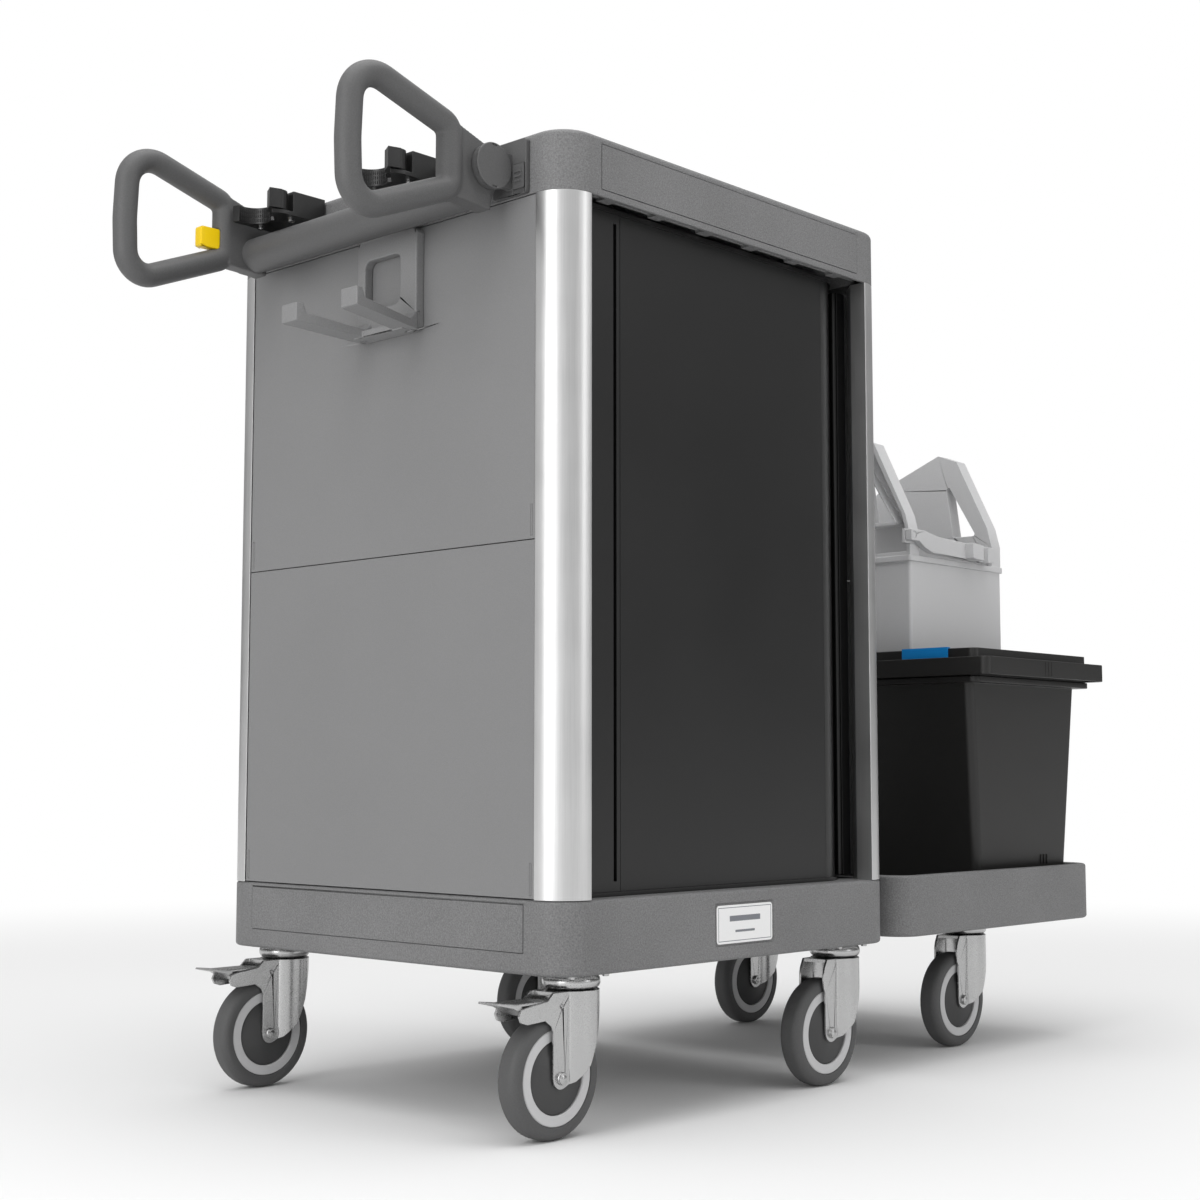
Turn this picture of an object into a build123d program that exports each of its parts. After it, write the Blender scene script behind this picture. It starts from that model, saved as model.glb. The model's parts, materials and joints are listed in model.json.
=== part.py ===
"""Housekeeping cart: a shutter-fronted cabinet on casters with a push handle at one end and a bucket
platform with a mop press at the other. Millimetres, +Z up, +X towards the bucket platform, the shutter
faces -Y. Origin on the floor under the middle of the whole cart."""

import os
from math import cos, hypot, pi, radians, sin

from build123d import *

# Driving dimensions -----------------------------------------------------------------------------
CAB_L = 572.0  # cabinet length, along X
CAB_W = 566.0  # cabinet width, along Y
BASE_Z = 164.0  # underside of both base mouldings
BASE_H = 75.5  # height of the base mouldings
POST_H = 729.5  # corner posts between base and top frame
TOP_H = 65.5  # top frame height
CORNER_R = 39.0  # plan radius of the cabinet's corners
POST_W = CORNER_R + 2.5  # leg of a corner post along each face
JAMB = 22.0  # depth of a post's return into the door opening
POST_WALL = 2.6
WALL = 5.0  # wall of the big mouldings
DECK = 6.0  # deck of the base moulding
EDGE_R = 4.0  # rounding of the mouldings' long edges
FIT = 0.3  # gap between pieces that move apart
SEAM_Z = 606.0  # joint between lower and upper side panels
PANEL_T = 4.0
PANEL_SET = 1.0  # panels lie this far inside the posts' faces
PANEL_GAP = 1.0
PLATE_T = 2.5  # inset cover plates
PLATE_GAP = 0.6

PLAT_GAP = 47.0  # between the cabinet and the bucket platform
PLAT_L = 484.0
PLAT_W = 535.0
PLAT_R = 39.0
PLAT_RIM = 12.0
PLAT_DEPTH = 25.0

SHUTTER_Y = 25.0  # outer face of the shutter, from the cabinet's side face
SHUTTER_T = 5.0
SHUTTER_BEND_R = 52.0
SHUTTER_BEND_X = 472.0  # where the shutter starts to turn the corner
LEAD_W = 68.0  # stiff lead bar of the shutter
LEAD_T = 14.0
GRIP_GROOVE_W = 4.6
GRIP_GROOVE_L = 700.0

GRIP_Y = 88.0  # mid plane of each grip loop, from the cabinet's side face
GRIP_R = 13.5  # grip tube radius
PIVOT_X = -33.0  # handle pivot from the cabinet's end face
PIVOT_UP = 27.0  # handle pivot above the underside of the top frame
HUB_R = 24.0
PIN_R = 8.0
BAR_X = -42.0
BAR_DOWN = 22.0  # cross bar below the pivot
BAR_A = 21.0  # half depth of the cross bar
BAR_B = 20.0  # half height of the cross bar
RUN_FIT = 0.06  # radial clearance of a pin in its bore

BUCKET_X0 = 826.0  # bucket body at its top, measured from the cabinet's end face
BUCKET_L = 282.0
BUCKET_IN_Y = 28.5  # from the platform's side face
BUCKET_W = 371.0
BUCKET_DRAFT_X = 25.0
BUCKET_DRAFT_Y = 8.0
BUCKET_TOP = 534.0
BUCKET_WALL = 3.0

WHEEL_R = 62.5
WHEEL_W = 27.0
TRAIL = 33.0
CASTER_IN_X = 58.0
CASTER_IN_Y = 44.5
PLAT_CASTER_X = 897.0
PLAT_CASTER_IN_Y = 89.5  # from the platform's side faces
AXLE_R = 5.0

# Worked out from them -----------------------------------------------------------------------------
BASE_TOP = BASE_Z + BASE_H
TOP_Z = BASE_TOP + POST_H
CART_TOP = TOP_Z + TOP_H
PIVOT_Z = TOP_Z + PIVOT_UP
BAR_Z = PIVOT_Z - BAR_DOWN
PLAT_X0 = CAB_L + PLAT_GAP
PLAT_X1 = PLAT_X0 + PLAT_L
PLAT_Y0 = (CAB_W - PLAT_W) / 2
PLAT_Y1 = PLAT_Y0 + PLAT_W
BUCKET_Y0 = PLAT_Y0 + BUCKET_IN_Y
PLAT_FLOOR = BASE_TOP - PLAT_DEPTH
RIM_X0 = BUCKET_X0 - 24.0
RIM_X1 = BUCKET_X0 + BUCKET_L + 12.0
RIM_Y0 = BUCKET_Y0 - 42.0
RIM_Y1 = BUCKET_Y0 + BUCKET_W + 42.0
GRIP_LEFT_X = PIVOT_X - 180.0  # centre line of the grip's outer strand
CART_X0 = GRIP_LEFT_X - GRIP_R
CART_X1 = max(RIM_X1, PLAT_X1)
SHIFT = Vector(-(CART_X0 + CART_X1) / 2, -CAB_W / 2, 0)


# Helpers ------------------------------------------------------------------------------------------
def box(x0, x1, y0, y1, z0, z1):
    return Pos((x0 + x1) / 2, (y0 + y1) / 2, (z0 + z1) / 2) * Box(x1 - x0, y1 - y0, z1 - z0)


def round_box(x0, x1, y0, y1, z0, z1, r):
    """A box with rounded upright corners."""
    outline = RectangleRounded(x1 - x0, y1 - y0, r)
    return Pos((x0 + x1) / 2, (y0 + y1) / 2, z0) * extrude(outline, z1 - z0)


def prism(plane, points, start, end, r=0):
    """An outline drawn on plane, extruded from start to end along the plane's normal."""
    face = make_face(FilletPolyline(*points, radius=r, close=True) if r else Polyline(*points, close=True))
    solid = extrude(face, end - start)
    return plane.offset(start) * solid


PLAN = Plane.XY
SIDE = Plane(origin=(0, 0, 0), x_dir=(1, 0, 0), z_dir=(0, -1, 0))  # (x, z) drawn, grows towards -Y
END = Plane.YZ  # (y, z) drawn, grows towards +X


def side_prism(points, y0, y1, r=0):
    """An (x, z) outline between y0 and y1."""
    return prism(SIDE, points, -y1, -y0, r)


def end_prism(points, x0, x1, r=0):
    """A (y, z) outline between x0 and x1."""
    return prism(END, points, x0, x1, r)


def rod_y(x, z, y0, y1, r):
    return Pos(x, (y0 + y1) / 2, z) * Rot(90, 0, 0) * Cylinder(r, y1 - y0)


def rod_z(x, y, z0, z1, r):
    return Pos(x, y, (z0 + z1) / 2) * Cylinder(r, z1 - z0)


def far_side(shape):
    """The same piece on the cabinet's +Y side."""
    return Pos(0, CAB_W, 0) * mirror(shape, Plane.XZ)


def at_front(shape):
    """The same piece at the cabinet's +X end."""
    return Pos(CAB_L, 0, 0) * mirror(shape, Plane.YZ)


def one(shape):
    """The shape as a plain list of its solids."""
    return list(shape.solids())


def edges_at_z(shape, z):
    return [e for e in shape.edges() if abs(e.center().Z - z) < 0.01 and e.bounding_box().size.Z < 0.01]


nodes = {}


def add(name, *shapes):
    """Keep a node: one or more separate solids."""
    nodes[name] = [solid for shape in shapes for solid in one(shape)]


# Cabinet base -------------------------------------------------------------------------------------
PLATE_IN = 56.5  # inset plates start this far from the corner
BASE_PLATE_Z0 = BASE_Z + 21.5
BASE_PLATE_Z1 = BASE_TOP - 5.0
LABEL_X0, LABEL_X1 = 239.0, 336.0
LABEL_Z0, LABEL_Z1 = BASE_Z + 18.0, BASE_TOP - 16.0
LABEL_T = 1.4
LABEL_EDGE = 2.0
BOSS = 92.0
RIB_T = 3.0


def base_shell(x0, x1, y0, y1, r):
    """A rounded moulding, open underneath, with softened long edges."""
    outer = round_box(x0, x1, y0, y1, BASE_Z, BASE_TOP, r)
    outer = fillet(edges_at_z(outer, BASE_Z) + edges_at_z(outer, BASE_TOP), EDGE_R)
    return outer


def caster_boss(x, y):
    return box(x - BOSS / 2 + 6, x + BOSS / 2 - 6, y - 38, y + 38, BASE_Z + 2, BASE_TOP - DECK)


CABINET_CASTERS = {
    "a": (CASTER_IN_X, CAB_W - CASTER_IN_Y),
    "b": (CASTER_IN_X, CASTER_IN_Y),
    "c": (CAB_L - CASTER_IN_X, CASTER_IN_Y),
    "d": (CAB_L - CASTER_IN_X, CAB_W - CASTER_IN_Y),
}
PLATFORM_CASTERS = {
    "e": (PLAT_CASTER_X, PLAT_Y1 - PLAT_CASTER_IN_Y),
    "f": (PLAT_CASTER_X, PLAT_Y0 + PLAT_CASTER_IN_Y),
}
CASTERS = {**CABINET_CASTERS, **PLATFORM_CASTERS}
RAIL_Y = (CAB_W / 2 - 90.0, CAB_W / 2 + 90.0)
RAIL_W, RAIL_H = 40.0, 20.0
RAIL_Z0 = BASE_Z + 4.0
RAIL_X0, RAIL_X1 = 60.0, PLAT_X1 - 60.0


def base_tray():
    outer = base_shell(0, CAB_L, 0, CAB_W, CORNER_R)
    inner = round_box(WALL, CAB_L - WALL, WALL, CAB_W - WALL, BASE_Z - 1, BASE_TOP - DECK, CORNER_R - WALL)
    tray = outer - inner
    for x, y in CABINET_CASTERS.values():
        tray += caster_boss(x, y) & inner
    for x in (CAB_L / 3, 2 * CAB_L / 3):
        tray += box(x - RIB_T / 2, x + RIB_T / 2, WALL, CAB_W - WALL, BASE_Z + 30, BASE_TOP - DECK)
    for x0, x1 in ((-1, PLATE_T), (CAB_L - PLATE_T, CAB_L + 1)):
        tray -= box(x0, x1, PLATE_IN, CAB_W - PLATE_IN, BASE_PLATE_Z0, BASE_PLATE_Z1)
    edge = LABEL_EDGE
    tray -= box(LABEL_X0 - edge, LABEL_X1 + edge, -1, LABEL_T, LABEL_Z0 - edge, LABEL_Z1 + edge)
    for y in RAIL_Y:
        tray -= box(CAB_L - 2 * WALL, CAB_L + 1, y - RAIL_W / 2, y + RAIL_W / 2, BASE_Z - 1, RAIL_Z0 + RAIL_H)
    return tray


def base_inset_plates():
    g = PLATE_GAP
    z0, z1 = BASE_PLATE_Z0 + g, BASE_PLATE_Z1 - g
    rear = box(0, PLATE_T, PLATE_IN + g, CAB_W - PLATE_IN - g, z0, z1)
    front = box(CAB_L - PLATE_T, CAB_L, PLATE_IN + g, CAB_W - PLATE_IN - g, z0, z1)
    for y in RAIL_Y:
        front -= box(CAB_L - 9, CAB_L + 1, y - RAIL_W / 2 - g, y + RAIL_W / 2 + g, 0, RAIL_Z0 + RAIL_H + g)
    return rear, front


def name_plate():
    return box(LABEL_X0, LABEL_X1, 0.2, LABEL_T, LABEL_Z0, LABEL_Z1)


add("base_tray", base_tray())
add("base_inset_plates", *base_inset_plates())
add("name_plate", name_plate())


# Corner posts -------------------------------------------------------------------------------------
def post_prism(inset, z0, z1):
    """Quarter-round section, inset all round, with its outer corner at the origin."""
    a, w, j = inset, POST_W - inset, JAMB - inset * 0.4
    solid = prism(PLAN, [(a, a), (w, a), (w, j), (j, w), (a, w)], z0, z1)
    corner = [e for e in solid.edges().filter_by(Axis.Z) if hypot(e.center().X - a, e.center().Y - a) < 0.01]
    return fillet(corner, CORNER_R - 2 * inset)


def post(at_x1, at_y1):
    tube = post_prism(0, BASE_TOP, TOP_Z) - post_prism(POST_WALL, BASE_TOP - 1, TOP_Z + 1)
    if at_x1:
        tube = at_front(tube)
    if at_y1:
        tube = far_side(tube)
    return tube


add("post_rear_near", post(False, False))
add("post_rear_far", post(False, True))
add("post_front_near", post(True, False))
add("post_front_far", post(True, True))

# Side panels --------------------------------------------------------------------------------------
TAB_H, TAB_W, TAB_GROOVE = 33.0, 3.5, 0.9


def tab_marks(y, z):
    """The thin outline of a clip tab, cut into a panel's outer face."""
    outer = box(-1, PANEL_SET + 0.8, y, y + TAB_W, z, z + TAB_H)
    g = TAB_GROOVE
    return outer - box(-2, PANEL_SET + 2, y + g, y + TAB_W - g, z + g, z + TAB_H - g)


def end_panel(z0, z1):
    """A panel of the -X end."""
    y0, y1 = POST_W + PANEL_GAP, CAB_W - POST_W - PANEL_GAP
    sheet = box(PANEL_SET, PANEL_SET + PANEL_T, y0, y1, z0, z1)
    for y in (y0 + 3.0, y1 - 3.0 - TAB_W):
        sheet -= tab_marks(y, z0 + 3.0)
    for y in (y0 + 40.0, y1 - 40.0 - 12.0):
        sheet += box(PANEL_SET + PANEL_T, PANEL_SET + PANEL_T + 8, y, y + 12, z0 + 10, z1 - 10)
    return sheet


def back_panel(z0, z1):
    y1 = CAB_W - PANEL_SET
    x0, x1 = POST_W + PANEL_GAP, CAB_L - POST_W - PANEL_GAP
    return box(x0, x1, y1 - PANEL_T, y1, z0, z1)


LOW_PANEL = (BASE_TOP + PANEL_GAP, SEAM_Z - PANEL_GAP / 2)
HIGH_PANEL = (SEAM_Z + PANEL_GAP / 2, TOP_Z - PANEL_GAP)
add("panel_rear_lower", end_panel(*LOW_PANEL))
add("panel_rear_upper", end_panel(*HIGH_PANEL))
add("panel_front_lower", at_front(end_panel(*LOW_PANEL)))
add("panel_front_upper", at_front(end_panel(*HIGH_PANEL)))
add("panel_back_lower", back_panel(*LOW_PANEL))
add("panel_back_upper", back_panel(*HIGH_PANEL))

# Top frame and tray -------------------------------------------------------------------------------
FRAME_W = 24.0  # width of the frame's rail
TOP_EDGE_R = 7.0
TOP_PLATE_Z0, TOP_PLATE_Z1 = TOP_Z + 7.5, CART_TOP - 9.0
LUG_COUNT = 6
TRAY_GAP = 0.5
LEDGE_W = 14.0  # ledges that carry the top tray
TRAY_T = 4.0
TRAY_FLOOR = TOP_Z + 26.0


def top_frame():
    outer = round_box(0, CAB_L, 0, CAB_W, TOP_Z, CART_TOP, CORNER_R)
    outer = fillet(edges_at_z(outer, CART_TOP), TOP_EDGE_R)
    hole = round_box(FRAME_W, CAB_L - FRAME_W, FRAME_W, CAB_W - FRAME_W, TOP_Z - 1, CART_TOP + 1, 18)
    channel = round_box(WALL, CAB_L - WALL, WALL, CAB_W - WALL, TOP_Z - 1, CART_TOP - 9, CORNER_R - WALL)
    inner_wall = round_box(
        FRAME_W - 4, CAB_L - FRAME_W + 4, FRAME_W - 4, CAB_W - FRAME_W + 4, TOP_Z + 6, CART_TOP, 20
    )
    frame = outer - (channel - inner_wall) - hole
    span = CAB_L - 2 * POST_W
    for i in range(LUG_COUNT):
        x = POST_W + span * (i + 0.5) / LUG_COUNT
        for y0 in (WALL, CAB_W - FRAME_W):
            frame += box(x - 9, x + 9, y0, y0 + FRAME_W - WALL, TOP_Z + 3, CART_TOP - 9)
    for x0 in (WALL, CAB_L - FRAME_W):
        for y in (CAB_W / 4, CAB_W / 2, 3 * CAB_W / 4):
            frame += box(x0, x0 + FRAME_W - WALL, y - 4, y + 4, TOP_Z + 3, CART_TOP - 9)
    for y0, y1 in ((-1, PLATE_T), (CAB_W - PLATE_T, CAB_W + 1)):
        frame -= box(PLATE_IN, CAB_L - PLATE_IN, y0, y1, TOP_PLATE_Z0, TOP_PLATE_Z1)
    ledge_z = TRAY_FLOOR - TRAY_T
    for y0 in (FRAME_W - 1, CAB_W - FRAME_W - LEDGE_W):
        frame += box(120, CAB_L - 120, y0, y0 + LEDGE_W + 1, ledge_z - 3, ledge_z)
    return frame


def top_inset_plates():
    g = PLATE_GAP
    near = box(PLATE_IN + g, CAB_L - PLATE_IN - g, 0, PLATE_T, TOP_PLATE_Z0 + g, TOP_PLATE_Z1 - g)
    return near, far_side(near)


def top_tray():
    a = FRAME_W + TRAY_GAP
    outer = round_box(a, CAB_L - a, a, CAB_W - a, TRAY_FLOOR - TRAY_T, CART_TOP - 4, 17.5)
    b = a + TRAY_T
    return outer - round_box(b, CAB_L - b, b, CAB_W - b, TRAY_FLOOR, CART_TOP + 1, 14)


add("top_frame", top_frame())
add("top_inset_plates", *top_inset_plates())
add("top_tray", top_tray())

# Shutter ------------------------------------------------------------------------------------------
CURTAIN_Z0, CURTAIN_Z1 = BASE_TOP + 2.0, TOP_Z - 1.0
LEAD_X0 = POST_W + 2.0
LEAD_X1 = LEAD_X0 + LEAD_W
SHUTTER_IN = SHUTTER_Y + SHUTTER_T
BEND_Y = SHUTTER_Y + SHUTTER_BEND_R
RUN_X1 = SHUTTER_BEND_X + SHUTTER_BEND_R  # outer face of the run along the front wall
RUN_Y1 = CAB_W - 90.0
LINER_T = 3.0
TRACK_H = 4.5
TRACK_T = 2.2


def shutter_curtain():
    return box(LEAD_X1 + FIT, SHUTTER_BEND_X - FIT, SHUTTER_Y, SHUTTER_IN, CURTAIN_Z0, CURTAIN_Z1)


def bent_strip(offset, thickness, x_start, y_end, z0, z1):
    """A strip along the shutter's path, offset inwards, from x_start round the bend to y_end."""
    r0 = SHUTTER_BEND_R - offset
    r1 = r0 - thickness
    bx, by = SHUTTER_BEND_X, BEND_Y
    ring = rod_z(bx, by, z0, z1, r0) - rod_z(bx, by, z0 - 1, z1 + 1, r1)
    strip = ring & box(bx, bx + r0 + 1, by - r0 - 1, by, z0, z1)
    strip += box(bx + r1, bx + r0, by, y_end, z0, z1)
    if x_start < bx:
        strip += box(x_start, bx, by - r0, by - r1, z0, z1)
    return strip


def shutter_return():
    """The part of the curtain that has already turned the corner."""
    return bent_strip(0, SHUTTER_T, SHUTTER_BEND_X, RUN_Y1, CURTAIN_Z0, CURTAIN_Z1)


def shutter_lead_bar():
    bar = box(LEAD_X0, LEAD_X1, SHUTTER_Y, SHUTTER_Y + LEAD_T, CURTAIN_Z0 + 6, CURTAIN_Z1 - 6)
    skin = box(LEAD_X0, LEAD_X1, SHUTTER_Y, SHUTTER_IN, CURTAIN_Z0, CURTAIN_Z1)
    mid = (CURTAIN_Z0 + CURTAIN_Z1) / 2
    gx = LEAD_X1 - 5.5
    half = GRIP_GROOVE_L / 2
    groove = box(gx - GRIP_GROOVE_W, gx, SHUTTER_Y - 1, SHUTTER_Y + 9, mid - half, mid + half)
    return bar + skin - groove


def shutter_tracks():
    """Low fences each side of the curtain, under it and over it."""
    tracks = []
    for z0, z1 in ((BASE_TOP, BASE_TOP + TRACK_H), (TOP_Z - TRACK_H, TOP_Z)):
        inner = bent_strip(SHUTTER_T + 0.6, TRACK_T, LEAD_X0, RUN_Y1 + 5, z0, z1)
        outer = bent_strip(-0.6 - TRACK_T, TRACK_T, LEAD_X0, RUN_Y1 + 5, z0, z1)
        tracks += [inner, outer]
    return tracks


def shutter_pillar():
    """Ribbed guide that closes the corner between the shutter's bend and the front post."""
    x0 = CAB_L - POST_W + 0.5
    z0, z1 = BASE_TOP + TRACK_H + 0.5, TOP_Z - TRACK_H - 0.5
    pillar = box(x0, x0 + 16, JAMB + 21, 74, z0, z1)
    for y in (JAMB + 27, JAMB + 43):
        pillar += rod_z(x0, y, z0, z1, 3.0)
    return pillar


def shutter_liner():
    """Inner wall that keeps the load off the stored curtain."""
    x1 = RUN_X1 - SHUTTER_T - 12.0
    return box(x1 - LINER_T, x1, BEND_Y - 10, CAB_W - 9, BASE_TOP, TOP_Z)


add("shutter_curtain", shutter_curtain())
add("shutter_return", shutter_return())
add("shutter_lead_bar", shutter_lead_bar())
add("shutter_tracks", *shutter_tracks())
add("shutter_pillar", shutter_pillar())
add("shutter_liner", shutter_liner())

# Shelves ------------------------------------------------------------------------------------------
SHELF_T = 14.0
SHELVES = {"shelf_lower": 470.0, "shelf_upper": 715.0}


def shelf(z):
    x0, x1 = 16.0, RUN_X1 - SHUTTER_T - 12.0 - LINER_T
    y0, y1 = SHUTTER_Y + LEAD_T + 10.0, CAB_W - PANEL_SET - PANEL_T
    board = box(x0, x1, y0, y1, z, z + SHELF_T)
    board -= box(x0 + 3, x1 - 3, y0 + 3, y1 - 3, z - 1, z + SHELF_T - 3)
    notch = POST_W + 1.0
    board -= box(x0 - 1, notch, CAB_W - notch, y1 + 1, z - 5, z + SHELF_T + 5)
    return board


for shelf_name, shelf_z in SHELVES.items():
    add(shelf_name, shelf(shelf_z))

# Push handle --------------------------------------------------------------------------------------
STRUT_X = PIVOT_X - 47.0
HUB_Y0 = GRIP_Y - 8.5
HUB_Y1 = GRIP_Y + GRIP_R
EAR_Y0, EAR_Y1 = HUB_Y0 - 8.5, HUB_Y0 - 0.5
CAP_T = 2.5
BRACKET_Y0, BRACKET_Y1 = 50.0, 100.0
BRACKET_T = 6.0


def grip_path():
    """Centre line of a grip loop, as (x, z) corners."""
    left, top, low = GRIP_LEFT_X, PIVOT_Z + 73.0, PIVOT_Z - 83.0
    return [
        (left + 4, top),
        (left, PIVOT_Z - 11.0),
        (left + 3, low),
        (STRUT_X, PIVOT_Z - 30.5),
        (STRUT_X, PIVOT_Z + 34.5),
    ]


def grip(near):
    """One grip with its hub, web and the end of the cross bar."""
    corners = [(x, GRIP_Y, z) for x, z in grip_path()]
    line = FilletPolyline(*corners, radius=[34, 120, 26, 13, 13], close=True)
    start = line @ 0
    section = Plane(origin=start, z_dir=line % 0) * Circle(GRIP_R)
    loop = sweep(section, line)
    web = side_prism(
        [
            (STRUT_X, PIVOT_Z - 40.0),
            (PIVOT_X + 6, PIVOT_Z - 44.0),
            (PIVOT_X + 6, PIVOT_Z + 14.0),
            (PIVOT_X, PIVOT_Z + 25.0),
            (STRUT_X, PIVOT_Z + 40.0),
        ],
        HUB_Y0 + 1,
        HUB_Y1,
    )
    hub = rod_y(PIVOT_X, PIVOT_Z, HUB_Y0, HUB_Y1, HUB_R)
    end_boss = side_prism(ellipse_points(BAR_X, BAR_Z, BAR_A, BAR_B), HUB_Y0 + 2, HUB_Y1)
    shape = loop + web + hub + end_boss
    shape -= rod_y(PIVOT_X, PIVOT_Z, HUB_Y0 - 1, HUB_Y1 - 1.0, PIN_R + RUN_FIT)
    return shape if near else far_side(shape) - lever_slot()


def ellipse_points(x, z, a, b, count=36):
    return [(x + a * cos(2 * pi * i / count), z + b * sin(2 * pi * i / count)) for i in range(count)]


def handle_bar():
    section = SIDE.offset(-HUB_Y1) * (Pos(BAR_X, BAR_Z) * Ellipse(BAR_A, BAR_B))
    length = CAB_W - 2 * HUB_Y1
    solid = extrude(section, length, dir=(0, 1, 0))
    hollow_section = SIDE.offset(-HUB_Y1) * (Pos(BAR_X, BAR_Z) * Ellipse(BAR_A - 4, BAR_B - 4))
    return solid - extrude(hollow_section, length, dir=(0, 1, 0))


LEVER_Z0, LEVER_Z1 = PIVOT_Z - 23.0, PIVOT_Z + 1.0
LEVER_OUT = 22.0
LEVER_T = 12.0
LEVER_TRAVEL = 7.0


def lever_slot():
    y = CAB_W - GRIP_Y
    g = FIT
    return box(
        STRUT_X - 20, STRUT_X + 14 + LEVER_TRAVEL, y - LEVER_T / 2 - g, y + LEVER_T / 2 + g, LEVER_Z0 - g,
        LEVER_Z1 + g,
    )


def release_lever():
    y = CAB_W - GRIP_Y
    x0 = STRUT_X - GRIP_R - LEVER_OUT
    lever = box(x0, STRUT_X + 13.0, y - LEVER_T / 2, y + LEVER_T / 2, LEVER_Z0, LEVER_Z1)
    return fillet(lever.edges().filter_by(Axis.Y).group_by(Axis.X)[0], 3.5)


def handle_bracket():
    plate = box(-BRACKET_T, 0, BRACKET_Y0, BRACKET_Y1, TOP_Z + 1.0, TOP_Z + 60.0)
    plate = fillet(plate.edges().filter_by(Axis.X), 4)
    neck = box(PIVOT_X, -BRACKET_T, EAR_Y0, EAR_Y1, PIVOT_Z - 19, PIVOT_Z + 19)
    ear = rod_y(PIVOT_X, PIVOT_Z, EAR_Y0, EAR_Y1, HUB_R - 0.5)
    pin = rod_y(PIVOT_X, PIVOT_Z, EAR_Y0 + 1, HUB_Y1 - 1.5, PIN_R)
    latch_seat = box(-BRACKET_T - 1, -BRACKET_T + 1.5, BRACKET_Y0 + 2, EAR_Y0 - 1.5, TOP_Z + 1.5, TOP_Z + 33.5)
    return plate + neck + ear + pin - latch_seat


def pivot_cap():
    cap = rod_y(PIVOT_X, PIVOT_Z, EAR_Y0 - CAP_T, EAR_Y0, HUB_R + 0.5)
    cap = fillet(cap.edges().group_by(Axis.Y)[0], 1.2)
    for side in (-1, 1):
        z = PIVOT_Z + side * (HUB_R - 2.0)
        cap -= box(PIVOT_X - 3.5, PIVOT_X + 3.5, EAR_Y0 - CAP_T - 1, EAR_Y0 - 0.8, z - 1.0, z + 1.0)
    return cap




def bracket_latch():
    y0, y1 = BRACKET_Y0 + 2.5, EAR_Y0 - 2.0
    z0 = TOP_Z + 7.0
    latch = box(-BRACKET_T - 1.2, -BRACKET_T + 1.2, y0, y1, z0, z0 + 26)
    for i in range(3):
        z = z0 + 7 + 5 * i
        latch += box(-BRACKET_T - 2.6, -BRACKET_T - 1.2, y0 + 3, y1 - 3, z, z + 2.2)
    return latch


add("handle_bar", handle_bar())
add("grip_near", grip(True))
add("grip_far", grip(False))
add("release_lever", release_lever())
add("handle_brackets", handle_bracket(), far_side(handle_bracket()))
add("pivot_caps", pivot_cap(), far_side(pivot_cap()))
add("latch_near", bracket_latch())
add("latch_far", far_side(bracket_latch()))

# Tool clamps --------------------------------------------------------------------------------------
CLAMP_Y = {"near": 181.0, "far": 388.0}  # the block's side of each clamp
CLAMP_Z = TOP_Z + 36.0  # underside, clear of the handle's bar when it tilts
CLAMP_BASE = 5.0
CLAMP_TOP = TOP_Z + 65.0
ARM_TOP = TOP_Z + 55.0
CLAMP_W = 73.0
MOUTH = (-72.0, 43.0, 20.0)  # x, y from the clamp's side, radius of the pole's seat
ARM_T = 9.0
JAW_AT = (-62.0, 12.0)
JAW_R = 11.5
JAW_PIN_R = 3.0


def clamp_body(y):
    mx, my, mr = MOUTH
    cx, cy = mx, y + my
    base = prism(
        PLAN,
        [
            (0, y), (0, y + CLAMP_W), (-52, y + CLAMP_W), (-80, y + 67), (-52, y + 30), (-74, y + 6),
            (-60, y),
        ],
        CLAMP_Z,
        CLAMP_Z + CLAMP_BASE,
    )
    block = box(-48, -2, y, y + 24, CLAMP_Z + CLAMP_BASE, CLAMP_TOP)
    block += box(-34, -2, y + 24, y + 60, CLAMP_Z + CLAMP_BASE, ARM_TOP)
    arm = rod_z(cx, cy, CLAMP_Z, ARM_TOP, mr + ARM_T)
    sector = prism(
        PLAN,
        [(cx, cy), (cx + 60, cy - 14), (cx + 60, cy + 60), (cx - 20, cy + 60)],
        CLAMP_Z - 1,
        ARM_TOP + 1,
    )
    body = base + block + (arm & sector)
    body -= rod_z(cx, cy, CLAMP_Z - 2, CLAMP_TOP + 2, mr)
    body -= prism(
        PLAN, [(cx, cy), (cx - 80, cy - 40), (cx - 80, cy + 14)], CLAMP_Z - 2, CLAMP_TOP + 2
    )
    jx, jy = JAW_AT
    body -= rod_z(jx, y + jy, CLAMP_Z + CLAMP_BASE, CLAMP_TOP + 2, JAW_R + 2.5)
    body += rod_z(jx, y + jy, CLAMP_Z + 1, CLAMP_TOP - 1, JAW_PIN_R)
    for sx, sy in clamp_screw_places(y):
        body -= rod_z(sx, sy, CLAMP_Z - 1, CLAMP_Z + CLAMP_BASE + 9, 2.2)
    return one(body)


def clamp_screw_places(y):
    return [(-40.0, y + 14.0), (-44.0, y + 66.0)]


def clamp_jaw(y):
    """The eccentric jaw that grips a pole by its own weight and a light spring."""
    jx, jy = JAW_AT[0], y + JAW_AT[1]
    z0, z1 = CLAMP_Z + CLAMP_BASE + 0.5, CLAMP_TOP - 1
    jaw = rod_z(jx, jy, z0, z1, JAW_R)
    finger = [(jx - 2, jy - JAW_R), (jx - 17, jy - 8), (jx - 9, jy + 7), (jx, jy + JAW_R)]
    jaw += prism(PLAN, finger, z0, z1)
    return jaw - rod_z(jx, jy, z0 - 1, z1 + 1, JAW_PIN_R + RUN_FIT)


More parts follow.
